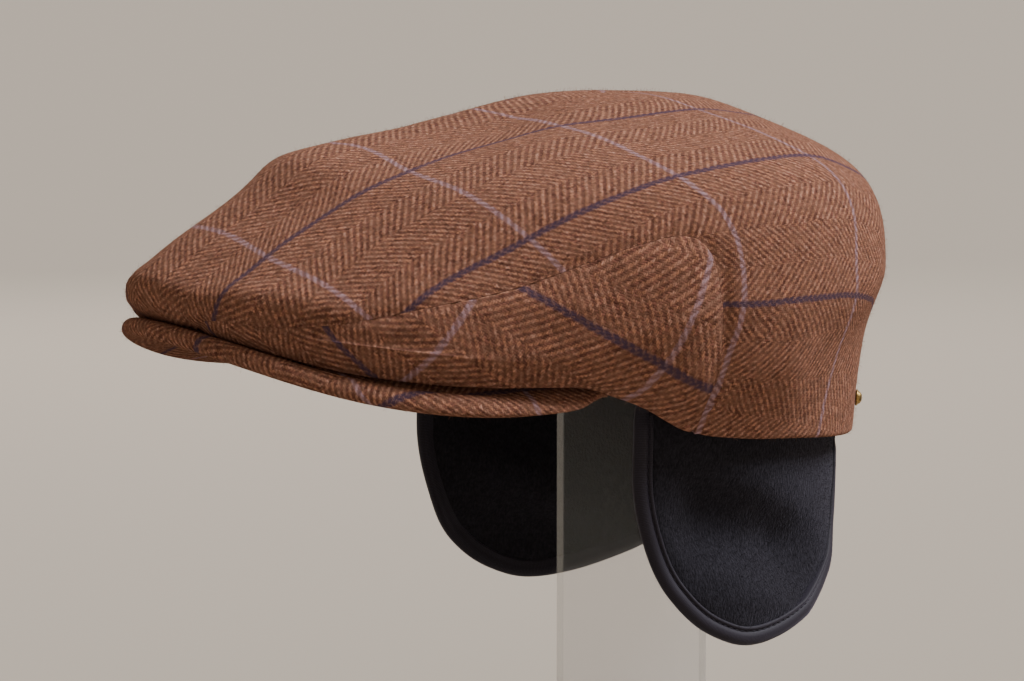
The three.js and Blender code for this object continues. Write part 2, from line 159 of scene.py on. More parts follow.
studio = {
    "floorSize": 80,
    "floorColor": (0.314, 0.2735, 0.223, 1),
    "floorRoughness": 0.9,
    # the air has the floor's tone at the horizon, so that no line shows there, and is darker above
    "airColor": (1.02, 0.877, 0.73, 1),
    "airStrength": 0.58,
    "airRise": -0.35,
    # one broad soft light from above and behind, like a high window
    "windowFrom": (0.25, 0.56, 0.79),
    "windowSpread": 22,
    "windowStrength": 5.5,
    "windowColor": (1.0, 1.01, 1.06),
    # a weak lamp on the far side
    "lampFrom": (-1.5, 0.5, 0.9),
    "lampAim": (0, 0, 0.16),
    "lampSize": 0.9,
    "lampWatts": 8,
    "lampColor": (1.0, 0.93, 0.86),
}


def addObject(name, data):
    made = bpy.data.objects.new(name, data)
    bpy.context.scene.collection.objects.link(made)
    return made


def aimAt(piece, place, target):
    piece.location = place
    piece.rotation_euler = (Vector(target) - piece.location).to_track_quat("-Z", "Y").to_euler()


def setCamera():
    lens = bpy.data.cameras.new("photoCamera")
    lens.lens = shot["lens"]
    lens.sensor_width = shot["sensor"]
    lens.clip_end = shot["farLimit"]
    camera = addObject("photoCamera", lens)
    aimAt(camera, Vector(shot["place"]) * mm, Vector(shot["target"]) * mm)
    bpy.context.scene.camera = camera


def addLight(name, kind, place, target, **settings):
    glow = bpy.data.lights.new(name, kind)
    for key, value in settings.items():
        setattr(glow, key, value)
    aimAt(addObject(name, glow), place, target)


def setStudio():
    s = studio
    half = s["floorSize"] / 2
    sheet = bpy.data.meshes.new("paleFloor")
    sheet.from_pydata([(-half, -half, 0), (half, -half, 0), (half, half, 0), (-half, half, 0)], [],
                      [(0, 1, 2, 3)])
    floor = addObject("paleFloor", sheet)
    paint, _ = newMaterial("palePaper", {"Base Color": s["floorColor"], "Roughness": s["floorRoughness"]})
    sheet.materials.append(paint)
    addLight("farSideLamp", "AREA", s["lampFrom"], s["lampAim"],
             size=s["lampSize"], energy=s["lampWatts"], color=s["lampColor"])
    addLight("window", "SUN", s["windowFrom"], (0, 0, 0),
             angle=math.radians(s["windowSpread"]), energy=s["windowStrength"], color=s["windowColor"])
    air = bpy.data.worlds.new("studioAir")
    air.use_nodes = True
    tree = air.node_tree
    sky = tree.nodes["Background"].inputs
    sky["Color"].default_value = s["airColor"]
    direction = addNode(tree, "ShaderNodeTexCoord", output="Generated")
    height = addNode(tree, "ShaderNodeSeparateXYZ", {0: direction}, "Z")
    strength = height.maths("MULTIPLY_ADD", s["airStrength"] * s["airRise"], s["airStrength"])
    plug(tree, sky["Strength"], strength)
    bpy.context.scene.world = air


setCamera()
setStudio()
print("camera, floor and light set")


# shape helpers

def unit(vectors):
    return vectors / np.linalg.norm(vectors, axis=-1, keepdims=True)


def smoothSteps(value, low, high):
    share = np.clip((value - low) / (high - low), 0, 1)
    return share * share * (3 - 2 * share)


def hermite(stations, values, slopes, at):
    # one value for each entry of at, through rows of values at rising stations
    pick = np.arange(len(at))
    k = np.clip(np.searchsorted(stations, at, side="right") - 1, 0, len(stations) - 2)
    span = stations[k + 1] - stations[k]
    u = (at - stations[k]) / span
    keep = (1 + 2 * u) * (1 - u) ** 2
    leave = u * (1 - u) ** 2 * span * slopes[pick, k]
    arrive = u ** 2 * (1 - u) * span * slopes[pick, k + 1]
    return keep * values[pick, k] + (1 - keep) * values[pick, k + 1] + leave - arrive


def middleSlopes(stations, values):
    slopes = np.zeros_like(values)
    slopes[:, 1:-1] = (values[:, 2:] - values[:, :-2]) / (stations[2:] - stations[:-2])
    return slopes


def alongTable(rows, at):
    # columns of a table at any angle: flat at both ends, smooth between rows
    table = np.array(rows, float)
    stations = table[:, 0]
    columns = []
    for column in table[:, 1:].T:
        values = np.repeat(column[None], len(at), 0)
        columns.append(hermite(stations, values, middleSlopes(stations, values), at))
    return columns


def smoothPath(points, steps):
    # Catmull-Rom curve through the points, at even steps, along the first axis
    knots = np.array(points, float)
    knots = np.concatenate([2 * knots[:1] - knots[1:2], knots, 2 * knots[-1:] - knots[-2:-1]])
    spans = len(points) - 1
    t = np.linspace(0, spans, steps + 1)
    k = np.minimum(t.astype(int), spans - 1)
    u = (t - k).reshape((-1,) + (1,) * (knots.ndim - 1))
    a, b, c, d = (knots[k + i] for i in range(4))
    curve = 2 * b + (c - a) * u + (2 * a - 5 * b + 4 * c - d) * u ** 2 + (3 * b - a - 3 * c + d) * u ** 3
    return 0.5 * curve


def halved(low, high, isShort, rounds=28):
    # narrows each range round the place where isShort turns false
    for _ in range(rounds):
        middle = (low + high) / 2
        short = isShort(middle)
        low, high = np.where(short, middle, low), np.where(short, high, middle)
    return low, high


def atAngle(reach, angle, height):
    turn = np.radians(angle)
    return np.stack(np.broadcast_arrays(reach * np.sin(turn), -reach * np.cos(turn), height), -1)


def ovalReach(halfLength, halfWidth, angle):
    turn = np.radians(angle)
    return halfLength * halfWidth / np.hypot(halfLength * np.sin(turn), halfWidth * np.cos(turn))


def placed(points, side=1):
    # mirrors a shape where the right one is wanted, and lifts it to its height on the stand
    return points * (side, 1, 1) + (0, 0, rimHeight)


def nearest(points, line, batch=2000):
    # distance from each point of a grid to the nearest point of a line
    flat = points.reshape(-1, 3)
    found = np.empty(len(flat))
    for start in range(0, len(flat), batch):
        part = flat[start:start + batch]
        found[start:start + batch] = np.sqrt(((part[:, None] - line[None]) ** 2).sum(-1).min(1))
    return found.reshape(points.shape[:-1])


def lengthAlong(line):
    return np.concatenate([[0], np.cumsum(np.linalg.norm(np.diff(line, axis=0), axis=1))])


def gridQuads(rows, columns, first=0, turned=False, ring=False):
    quads = []
    for i in range(rows - 1):
        for j in range(columns if ring else columns - 1):
            n = (j + 1) % columns
            quad = (first + i * columns + j, first + (i + 1) * columns + j,
                    first + (i + 1) * columns + n, first + i * columns + n)
            quads.append(quad[::-1] if turned else quad)
    return quads


def meshFrom(name, points, faces, material, cloth=None, weld=0.004):
    # points in millimetres; cloth holds a pattern place for each point
    mesh = bpy.data.meshes.new(name)
    mesh.from_pydata((np.reshape(points, (-1, 3)) * mm).tolist(), [], faces)
    if cloth is not None:
        loops = np.empty(len(mesh.loops), int)
        mesh.loops.foreach_get("vertex_index", loops)
        layer = mesh.uv_layers.new(name="cloth")
        layer.data.foreach_set("uv", np.reshape(cloth, (-1, 2)).astype(np.float32)[loops].ravel())
    work = bmesh.new()
    work.from_mesh(mesh)
    bmesh.ops.remove_doubles(work, verts=work.verts, dist=weld * mm)
    bmesh.ops.dissolve_degenerate(work, edges=work.edges, dist=weld * mm)
    if work.calc_volume(signed=True) < 0:
        bmesh.ops.reverse_faces(work, faces=work.faces)
    work.to_mesh(mesh)
    work.free()
    for face in mesh.polygons:
        face.use_smooth = True
    mesh.materials.append(material)
    pieces[name] = addObject(name, mesh)
    return pieces[name]


def tubeFrom(name, rings, material, cloth=None):
    # closed rings joined in a row, with a cap at each end
    rows, columns = rings.shape[:2]
    first = tuple(range(columns))
    last = tuple(n + (rows - 1) * columns for n in first)
    meshFrom(name, rings, gridQuads(rows, columns, ring=True) + [first, last[::-1]], material, cloth)


# tweed: herringbone columns with a windowpane check over them

tweedCloth = {
    "stripeSpacing": 47.0,    # navy stripes, lengthwise
    "checkSpacing": 55.0,     # lilac threads, crosswise
    "columnsPerStripe": 4,
    "yarn": 0.65,             # pitch of the yarns
    "yarnsPerStroke": 4,
    "loop": 1.6,              # yarns that one loop of wool covers
    "stepped": 0.55,          # how sharply a stroke steps from yarn to yarn
    "wander": 1.2,            # how far the yarns stray
    "strokeBlur": 4.2,        # how far loose wool blurs a stroke, a yarn and the edges of stripes
    "yarnBlur": 1.5,
    "stripeFray": 1.2,
    "checkFray": 1.8,
    "stripeWidth": 1.0,       # half the width of a stripe
    "checkWidth": 0.95,
    "stripeCover": (0.95, 0.72),    # on dark strokes and on light ones
    "checkCover": (0.3, 0.85),
    "fuzzCover": 0.55,
    # painted shade between the yarns and painted highlight on their tops
    "yarnPaintedShade": (0.62, 1.08),
    "loopShades": (0.62, 1.32),
    "light": (0.45, 0.205, 0.122, 1),
    "lightFaded": 0.5,        # flecks of a light yarn are this much darker
    "pale": (0.43, 0.235, 0.172, 1),      # some light yarns are paler and greyer
    "dark": (0.116, 0.048, 0.035, 1),
    "darkFaded": 1.9,
    "navy": (0.066, 0.042, 0.066, 1),
    "lilac": (0.36, 0.25, 0.305, 1),
    "fuzz": (0.235, 0.118, 0.078, 1),
    "relief": (0.6, 0.9, 0.4),      # how far strokes, loose wool and yarns stand out
}


def toned(color, times):
    return tuple(times * part for part in color[:3]) + (1,)


def makeTweed():
    t = tweedCloth
    material, tree = newMaterial("herringboneTweed", {
        "Roughness": 0.92, "Sheen Weight": 0.03, "Sheen Roughness": 0.5,
        "Sheen Tint": (0.9, 0.75, 0.62, 1), "Specular IOR Level": 0.0,
    })
    place, across, along = clothPlace(tree)
    wander = (noise(place, 0.7, 3.0, 0.65) - 0.5) * t["wander"]
    across = across + wander
    along = along + wander
    woolly = noise(place, 0.95, 5.0, 0.8) - 0.5

    # strokes climb one way in a column and the other way in the next, half a stroke out of step
    columnWidth = t["stripeSpacing"] / t["columnsPerStripe"]
    eased = across.maths("SNAP", t["yarn"]) * t["stepped"] + across * (1 - t["stepped"])
    climb = (along + eased.maths("PINGPONG", columnWidth)) / (t["yarn"] * t["yarnsPerStroke"])
    oddColumn = (across / columnWidth).maths("FLOOR").maths("FLOORED_MODULO", 2.0)
    wave = ((climb + oddColumn * 0.5) * (2 * math.pi)).maths("SINE")
    stroke = ramp(wave + woolly * t["strokeBlur"], -0.7, 1.15)

    # single yarns differ a little, and so do patches of the cloth
    fleck = noise(stretched(place, (0.5, 1.1, 1)), 0.8, 3.0, 0.7)
    hue = blendColor(ramp(noise(place, 0.45), 0.4, 0.62), t["light"], t["pale"])
    lightYarn = blendColor(ramp(fleck, 0.3, 0.75), hue, toned(t["light"], t["lightFaded"]))
    darkYarn = blendColor(ramp(fleck, 0.35, 0.8), t["dark"], toned(t["dark"], t["darkFaded"]))
    ground = blendColor(stroke, darkYarn, lightYarn)

    # each yarn is a small ridge: light ones run across, dark ones run along
    def ridge(value):
        return (value * (math.pi / t["yarn"])).maths("SINE").maths("ABSOLUTE")

    yarn = ridge(along) * stroke + ridge(across) * (1.0 - stroke)
    # painted shade in the gaps between yarns and a painted highlight on their tops, multiplied into the
    # colour
    shade = ramp(yarn + woolly * t["yarnBlur"], 0.0, 1.0, *t["yarnPaintedShade"])
    ground = blendColor(1.0, ground, shade, "MULTIPLY")
    loop = addNode(tree, "ShaderNodeCombineXYZ", {
        0: (across / t["yarn"]).maths("FLOOR"), 1: (along / (t["loop"] * t["yarn"])).maths("FLOOR"),
    })
    speck = addNode(tree, "ShaderNodeTexWhiteNoise", {"Vector": loop}, "Value", noise_dimensions="2D")
    ground = blendColor(1.0, ground, ramp(speck, 0.0, 1.0, *t["loopShades"]), "MULTIPLY")
    patch = noise(place, 0.22, 6.0, 0.7)
    ground = blendColor(ramp(patch, 0.36, 0.68, 0.0, t["fuzzCover"]), ground, t["fuzz"])

    # a stripe shows most where its own yarn floats on top
    def lineAt(value, kind):
        gap = (value + woolly * t[kind + "Fray"]).maths("PINGPONG", t[kind + "Spacing"] / 2)
        line = ramp(gap, t[kind + "Width"] * 0.55, t[kind + "Width"] * 1.35, 1.0, 0.0)
        return line * ramp(stroke, 0.0, 1.0, *t[kind + "Cover"])

    check = lineAt(along, "check") * ramp(fleck, 0.32, 0.62, 1.0, 0.6)
    cloth = blendColor(check, ground, t["lilac"])
    cloth = blendColor(lineAt(across, "stripe"), cloth, t["navy"])
    strokeRelief, looseRelief, yarnRelief = t["relief"]
    loose = noise(place, 2.6, 3.0, 0.7) * looseRelief
    dress(tree, {"Base Color": cloth}, (stroke * strokeRelief + loose + yarn * yarnRelief, 0.35, 0.8))
    return material


tweed = makeTweed()
print("tweed ready")


# crown: the tables of the pattern block

crown = {
    "top": 115,
    "cloth": 2.4,
    "stations": (0, 0.25, 0.52, 0.76, 0.9, 1),  # way down a section: top, shoulder, knee, bulge, tuck, edge
    "bulge": 3,
    # angle, then reach and height of shoulder, knee, bulge and tuck
    "sections": (
        (0, 56.5, 106, 102, 92.5, 153, 56, 151, 49),
        (30, 48, 103.5, 98, 87, 133, 47, 134, 42),
        (60, 43, 107.5, 93, 86, 106, 41, 104, 33),
        (90, 40, 110, 90, 90, 101, 52, 91, 27),
        (120, 41, 112, 95, 93, 105, 55, 96, 29),
        (150, 46, 113, 98, 91, 110, 58, 102, 33),
        (180, 55, 113, 97, 90, 113, 62, 108, 37),
    ),
    # angle, reach and height of the lower edge: lip, temple notch, rim
    "edge": (
        (0, 146, 45), (15, 141, 40.5), (30, 129, 32.5), (45, 113, 28), (60, 98.5, 26.5),
        (66, 93, 25.6), (72, 88, 22.5), (80, 85, 18), (90, 84.5, 10), (105, 85.5, 6),
        (120, 88.5, 4), (150, 98.5, 0.5), (180, 105, 0),
    ),
    # angle and way down of the seam between the top panel and a side panel
    "seam": (
        (8, 1), (13.5, 0.87), (21, 0.8), (30, 0.748), (41, 0.7), (53, 0.664), (65, 0.634),
        (76, 0.62), (85, 0.622), (90, 0.66), (92, 0.74), (93, 0.83), (93, 0.92), (92, 1),
    ),
    "seamCorner": 16 / 26,   # share of the seam at which it turns down
    "seamGap": 0.04,
    "seamDip": 0.65,         # the cloth is drawn in along a seam
    "seamDipWidth": 2.6,
    "dartDip": 1.2,
    "dartFade": (4, 34),     # way from the dart's tip over which it starts
    "pucker": 0.3,           # short waves beside a seam
    "puckerReach": 5,
    "edgeRoll": 1.5,
    "ripple": 0.45,          # slow unevenness of worn cloth
    "rippleFrom": (0, 14),   # way from a seam or an edge over which it starts
    "foldSteps": 40,
    # folds of the worn cloth: rise, spread, then angle and way down along the fold
    "folds": (
        (1.2, 7.0, ((0, 0.755), (6, 0.755), (12, 0.75), (18, 0.745))),
        (1.3, 5.0, ((16, 0.718), (20, 0.714), (25, 0.712), (29, 0.714))),
        (-1.6, 13.0, ((13, 0.58), (11, 0.615), (11, 0.65), (11, 0.69))),
        (2.3, 12.0, ((0, 0.512), (5, 0.512), (10, 0.512))),
        (1.0, 6.5, ((40, 0.696), (50, 0.68), (59, 0.685), (66, 0.7))),
        (-0.7, 5.0, ((91.5, 0.68), (93, 0.76), (94, 0.82), (94.5, 0.87))),
        (3.8, 14.0, ((88, 0.885), (100, 0.888), (110, 0.888))),
    ),
    # deeper on the right alone
    "rightFolds": (
        (-1.7, 13.0, ((13, 0.58), (11, 0.615), (11, 0.65), (11, 0.69))),
    ),
}


def crownPoint(angle, down):
    turned = np.abs(np.ravel(angle)).astype(float)
    way = np.clip(np.ravel(down).astype(float), 0, 1)
    places = alongTable(crown["sections"], turned) + alongTable(crown["edge"], turned)
    stations = np.array(crown["stations"], float)
    top = np.zeros_like(turned)
    reach = np.stack([top] + places[0::2], 1)
    height = np.stack([top + crown["top"]] + places[1::2], 1)
    lastSpan = stations[-1] - stations[-2]
    reachSlopes = middleSlopes(stations, reach)
    reachSlopes[:, 0] = reach[:, 1] / stations[1]
    reachSlopes[:, crown["bulge"]] = 0
    heightSlopes = middleSlopes(stations, height)
    for slopes, values in ((reachSlopes, reach), (heightSlopes, height)):
        slopes[:, -1] = (values[:, -1] - values[:, -2]) / lastSpan
    r = hermite(stations, reach, reachSlopes, way)
    z = hermite(stations, height, heightSlopes, way)
    return atAngle(r, np.ravel(angle), z).reshape(np.shape(angle) + (3,))


def onMap(angle, down):
    # flat map of the crown: distance is the way down, direction is the angle
    turn = np.radians(angle)
    return np.stack([down * np.cos(turn), down * np.sin(turn)], -1)


def crownFromMap(place):
    angle = np.degrees(np.arctan2(place[..., 1], place[..., 0]))
    return crownPoint(angle, np.hypot(place[..., 0], place[..., 1]))


def crownNormals(place, step=0.003):
    # directions out of the cap, taken just inside the lower edge
    out = np.hypot(place[..., 0], place[..., 1])[..., None]
    place = place * np.minimum(1, (1 - 1.5 * step) / np.maximum(out, step))
    lengthwise = crownFromMap(place + (step, 0)) - crownFromMap(place - (step, 0))
    crosswise = crownFromMap(place + (0, step)) - crownFromMap(place - (0, step))
    normal = unit(np.cross(lengthwise, crosswise))
    return normal * np.sign((normal * (crownFromMap(place) - (0, 0, capMiddle))).sum())


def seamOnMap(steps):
    path = smoothPath(crown["seam"], steps)
    return onMap(path[:, 0], np.minimum(path[:, 1], 1))


def flattenCloth(points, start, held, rounds=120, firm=1e6):
    # lays a grid of cloth flat with as little stretch as it can; points in held stay on the middle line
    rows, columns = points.shape[:2]
    quads = np.array(gridQuads(rows, columns))
    corners = np.concatenate([quads[:, [0, 1, 2]], quads[:, [0, 2, 3]]])
    flat = start.reshape(-1, 2).astype(float)
    space = points.reshape(-1, 3)
    turn = np.cross(flat[corners[:, 1]] - flat[corners[:, 0]], flat[corners[:, 2]] - flat[corners[:, 0]])
    corners[turn < 0] = corners[turn < 0][:, [0, 2, 1]]
    # each triangle's true shape, laid flat on its own
    p = space[corners]
    first = p[:, 1] - p[:, 0]
    firstLength = np.linalg.norm(first, axis=1)
    other = p[:, 2] - p[:, 0]
    overlap = (other * first).sum(1) / firstLength
    local = np.zeros((len(corners), 3, 2))
    local[:, 1, 0] = firstLength
    local[:, 2, 0] = overlap
    local[:, 2, 1] = np.sqrt(np.maximum((other ** 2).sum(1) - overlap ** 2, 1e-9))
    # a spring on each edge, as stiff as the cotangent of the angle across from it
    springs = np.zeros((len(space), len(space)))
    edges = []
    for k, i, j in ((0, 1, 2), (1, 2, 0), (2, 0, 1)):
        a = local[:, i] - local[:, k]
        b = local[:, j] - local[:, k]
        pull = np.maximum((a * b).sum(1) / np.abs(a[:, 0] * b[:, 1] - a[:, 1] * b[:, 0]), 0.05)
        edges.append((corners[:, i], corners[:, j], local[:, i] - local[:, j], pull))
        for m, n in ((i, j), (j, i)):
            np.add.at(springs, (corners[:, m], corners[:, n]), -pull)
            np.add.at(springs, (corners[:, m], corners[:, m]), pull)
    solvers = []
    for fixed in (held or [0], [0]):
        firmer = springs.copy()
        firmer[fixed, fixed] += firm
        solvers.append(np.linalg.inv(firmer))
    # turn each triangle to fit best, then let the springs settle, again and again
    for _ in range(rounds):
        spin = np.zeros((len(corners), 2, 2))
        for i, j, rest, pull in edges:
            spin += pull[:, None, None] * (flat[i] - flat[j])[:, :, None] * rest[:, None, :]
        angle = np.arctan2(spin[:, 1, 0] - spin[:, 0, 1], spin[:, 0, 0] + spin[:, 1, 1])
        cos, sin = np.cos(angle), np.sin(angle)
        wanted = np.zeros_like(flat)
        for i, j, rest, pull in edges:
            edge = np.stack([cos * rest[:, 0] - sin * rest[:, 1], sin * rest[:, 0] + cos * rest[:, 1]], 1)
            np.add.at(wanted, i, pull[:, None] * edge)
            np.add.at(wanted, j, -pull[:, None] * edge)
        flat = np.stack([solver @ wanted[:, way] for way, solver in enumerate(solvers)], 1)
    return flat.reshape(rows, columns, 2)


def refined(grid, rowTimes, columnTimes):
    # the same grid with more rows and columns
    rows = smoothPath(grid, (grid.shape[0] - 1) * rowTimes)
    turned = smoothPath(rows.swapaxes(0, 1), (grid.shape[1] - 1) * columnTimes)
    return turned.swapaxes(0, 1)


def drawnIn(points, line, depth):
    return depth * np.exp(-(nearest(points, line) / crown["seamDipWidth"]) ** 2)


def clothWall(places, points, seamLine, edgeLine, dart=None, more=()):
    # outer and inner face of a panel: drawn in along seams, rolled at free edges, with folds
    c = crown
    fromSeam = nearest(points, seamLine)
    fromEdge = nearest(points, edgeLine)
    x, y, z = (points[..., i] for i in range(3))
    slow = np.sin(x * 0.071 + 1.3) * np.sin(y * 0.058 + 0.4) + 0.6 * np.sin(x * 0.12 - y * 0.09 + z * 0.11)
    pucker = np.sin(y * 0.9 + x * 0.5) * np.exp(-fromSeam / c["puckerReach"]) * c["pucker"]
    dip = drawnIn(points, seamLine, c["seamDip"])
    if dart is not None:
        fade = smoothSteps(np.linalg.norm(points - dart[0], axis=-1), *c["dartFade"])
        dip = np.maximum(dip, fade * drawnIn(points, dart, c["dartDip"]))
    inside = smoothSteps(np.minimum(fromSeam, fromEdge), *c["rippleFrom"])
    lift = c["ripple"] * slow * inside + pucker - dip
    for rise, spread, course in c["folds"] + more:
        path = smoothPath(course, c["foldSteps"])
        away = nearest(points, crownPoint(path[:, 0], path[:, 1]))
        lift = lift + rise * np.exp(-(away / spread) ** 2)
    roll = 1 - np.minimum(fromEdge / c["edgeRoll"], 1)
    tuck = c["cloth"] / 2 * (1 - np.sqrt(np.maximum(1 - roll ** 2, 0)))
    normal = crownNormals(places)
    return (points + normal * rise[..., None] for rise in (lift - tuck, lift - c["cloth"] + tuck))


def panelFrom(name, halves, openMiddle):
    # each half has outer, inner and pattern grids; walls close its border, apart from an open middle
    points, cloth, faces = [], [], []
    count = 0
    for outer, inner, pattern, turned in halves:
        rows, columns = outer.shape[:2]
        size = rows * columns
        index = np.arange(size).reshape(rows, columns) + count
        for grid, side in ((outer, turned), (inner, not turned)):
            faces += gridQuads(rows, columns, count, side)
            points.append(grid.reshape(-1, 3))
            cloth.append(pattern.reshape(-1, 2))
            count += size
        border = np.concatenate([
            index[0, :-1], index[:-1, -1], index[-1, :0:-1], index[:0:-1, 0], index[:1, 0],
        ])
        if openMiddle:
            border = border[:2 * columns + rows - 2]
        for a, b in zip(border[:-1], border[1:]):
            wall = (a, b, b + size, a + size)
            faces.append(wall[::-1] if turned else wall)
    meshFrom(name, np.concatenate(points), faces, tweed, np.concatenate(cloth))
    skins[name] = [(outer, turned) for outer, _, _, turned in halves]


# top panel: over the top and round the back, with a dart up the middle of the back

topPanel = {
    "lipSteps": 4,
    "seamSteps": 26,
    "rimSteps": 16,
    "columns": 20,
    "crowding": 1.5,
    "firstAngle": 2,
    # where the grid's rows start on the middle line: lip, seam's front, seam's corner, seam's foot, back
    "rowStarts": (1, 0.92, 0.08, -0.78, -1),
    "finer": (4, 3),
    "dartTip": 0.1,
    "mapScale": 150,
    "cut": (0.375, 0.34),
    "stripeAt": 41,      # from the middle line to the first navy stripe
    "checkAt": 44.2,     # from the lip to the first lilac thread
    "checkStretch": 55 / 51,
    "checkSweep": 0.00115,   # threads sweep back as they go down the sides
    # how far the shaped cloth carries the stripes: way back from the lip, then drift at each stripe
    "stripeDrift": (
        (0, 6, 2, 0, 0), (40, 4.5, 2.4, -1.5, -1), (70, 3.5, 1.5, -4, -3), (95, 1.5, -2.6, -6.5, -6),
        (120, 2.5, -5.3, -9, -8), (140, 0, -7, -9.5, -9), (165, -5, -6.8, -8, -9), (190, -6, -3, -4, -7),
        (215, -4, 2.5, 1.5, -5), (240, -1, 5, 8, -3), (265, 0, 7, 14, -1), (345, 0, 9, 16, 0),
    ),
    "stripePlaces": (0, 41, 90, 140, 174),
    "checkDrift": (
        (0, 0.5, -1, -2, -2), (20, -0.5, -1.5, -4, -2), (40, 1, 0.2, -0.4, 0), (60, -1.2, -0.3, 1.1, 2),
        (80, -1.3, -0.6, 2.5, 3), (100, -1.5, -1.6, -0.3, -4.5), (120, -1.5, -2, -6.7, -5),
        (140, -1.5, -2, -7.9, -8), (165, -1.5, -2, -5.7, -8),
    ),
    "checkPlaces": (44, 99, 154, 209),
    # the cloth sits a little to the right: how far, and where it does so
    "farShift": 9,
    "farShiftAt": -15,
    "farShiftWidth": 26,
}


def topPanelMap(finer):
    t = topPanel
    rowTimes, columnTimes = finer
    lipSteps, seamSteps, rimSteps = (t[name] * rowTimes for name in ("lipSteps", "seamSteps", "rimSteps"))
    corner = round(seamSteps * crown["seamCorner"])
    lip, seamFront, seamCorner, seamFoot, back = t["rowStarts"]
    lipAngles = np.linspace(t["firstAngle"], crown["seam"][0][0], lipSteps, endpoint=False)
    rimAngles = np.linspace(crown["seam"][-1][0], 180 - t["firstAngle"], rimSteps + 1)[1:]
    border = np.concatenate([onMap(lipAngles, 1.0), seamOnMap(seamSteps), onMap(rimAngles, 1.0)])
    starts = np.concatenate([
        np.linspace(lip, seamFront, lipSteps, endpoint=False),
        np.linspace(seamFront, seamCorner, corner, endpoint=False),
        np.linspace(seamCorner, seamFoot, seamSteps - corner + 1),
        np.linspace(seamFoot, back, rimSteps + 1)[1:],
    ])
    out = 1 - (1 - np.linspace(0, 1, t["columns"] * columnTimes + 1)) ** t["crowding"]
    lengthwise = starts[:, None] + (border[:, :1] - starts[:, None]) * out
    seamRows = slice(lipSteps, lipSteps + seamSteps + 1)
    return np.stack([lengthwise, border[:, 1:] * out], -1), starts, seamRows


def carried(rows, at, places, way):
    # drift of a stripe or check at a place, between the rows and the columns of its table
    drifts = np.stack(alongTable(rows, np.clip(at, 0, rows[-1][0])), 1)
    if len(places) > drifts.shape[1]:
        drifts = np.concatenate([np.zeros((len(at), 1)), drifts], 1)  # nothing moves on the middle line
    return np.array([np.interp(w, places, row) for w, row in zip(way, drifts)])


def shapedPattern(flat):
    # pattern place on the cloth, after the stripes have been carried by the shaping
    t = topPanel
    u, v = flat[..., 0].ravel(), flat[..., 1].ravel()
    along = v * (1 - t["checkSweep"] * np.abs(u)) * t["checkStretch"]
    across = u + carried(t["stripeDrift"], v, t["stripePlaces"], np.abs(u))
    along = along + carried(t["checkDrift"], np.abs(u), t["checkPlaces"], along)
    return np.stack([across, along], -1).reshape(flat.shape)


def makeTopPanel():
    t = topPanel
    coarse, starts, _ = topPanelMap((1, 1))
    held = [i * coarse.shape[1] for i, start in enumerate(starts) if start > t["dartTip"]]
    guess = np.stack([coarse[..., 1], -coarse[..., 0]], -1) * t["mapScale"]
    flat = refined(flattenCloth(crownFromMap(coarse), guess, held), *t["finer"])
    pattern = shapedPattern(flat)
    places, starts, seamRows = topPanelMap(t["finer"])
    points = crownFromMap(places)
    dart = points[starts < t["dartTip"], 0]
    seamLine = points[seamRows, -1].copy()
    points[seamRows, -1] += unit(points[seamRows, -2] - points[seamRows, -1]) * crown["seamGap"]
    edgeLine = np.concatenate([
        points[:seamRows.start, -1], points[seamRows.stop:, -1], points[0], points[-1],
    ])
    edgeLine, seamLine = (np.concatenate([line, line * (-1, 1, 1)]) for line in (edgeLine, seamLine))
    halves = []
    middle = None
    for (_, side), more in zip(bothSides, ((), crown["rightFolds"])):
        walls = list(clothWall(places, points, seamLine, edgeLine, dart, more))
        middle = middle or [wall[:, 0] * (0, 1, 1) for wall in walls]  # both halves share the left one's
        for wall, line in zip(walls, middle):
            wall[:, 0] = line
        # strokes lean against those of the side panels
        cloth = (pattern * (side, 1) - (t["stripeAt"], t["checkAt"])) * (1, -1)
        away = (flat[..., 0] * side - t["farShiftAt"]) / t["farShiftWidth"]
        cloth[..., 0] += t["farShift"] * np.exp(-away ** 2)
        halves.append((placed(walls[0], side), placed(walls[1], side), cloth, side < 0))
    panelFrom("crownTop", halves, True)


makeTopPanel()
print("top panel:", len(pieces["crownTop"].data.polygons), "faces")


# side panels: under the long seams, with the cloth cut on a slant

sidePanel = {
    "seamSteps": 52,
    "columns": 12,
    "cornerAngle": 68,
    "finer": (3, 3),
    "crowding": 1.4,
    "cut": (0.18, 0.07),
    # on the flat panel, stripes fan out from a point above the front and checks are arcs round it
    "fanCentre": (-41, 107),
    "fanReach": 145,
    "fanStripe": -29.0,   # direction of the long stripe, in degrees
    "fanCheck": 159,      # reach of the first check
    "checkStretch": 55 / 66,
}


def sidePanelMap(finer):
    s = sidePanel
    steps = s["seamSteps"] * finer[0]
    seam = seamOnMap(steps)
    corner = round(steps * crown["seamCorner"])
    angles = np.concatenate([
        np.linspace(crown["seam"][0][0], s["cornerAngle"], corner, endpoint=False),
        np.linspace(s["cornerAngle"], crown["seam"][-1][0], steps - corner + 1),
    ])
    foot = onMap(angles, 1.0)
    t = np.linspace(-1, 1, s["columns"] * finer[1] + 1)
    out = 0.5 + 0.5 * np.sign(t) * (1 - (1 - np.abs(t)) ** s["crowding"])
    places = foot[:, None] + (seam - foot)[:, None] * out[None, :, None]
    ends = finer[0]  # the first and last rows have no width
    return places[ends:-ends]


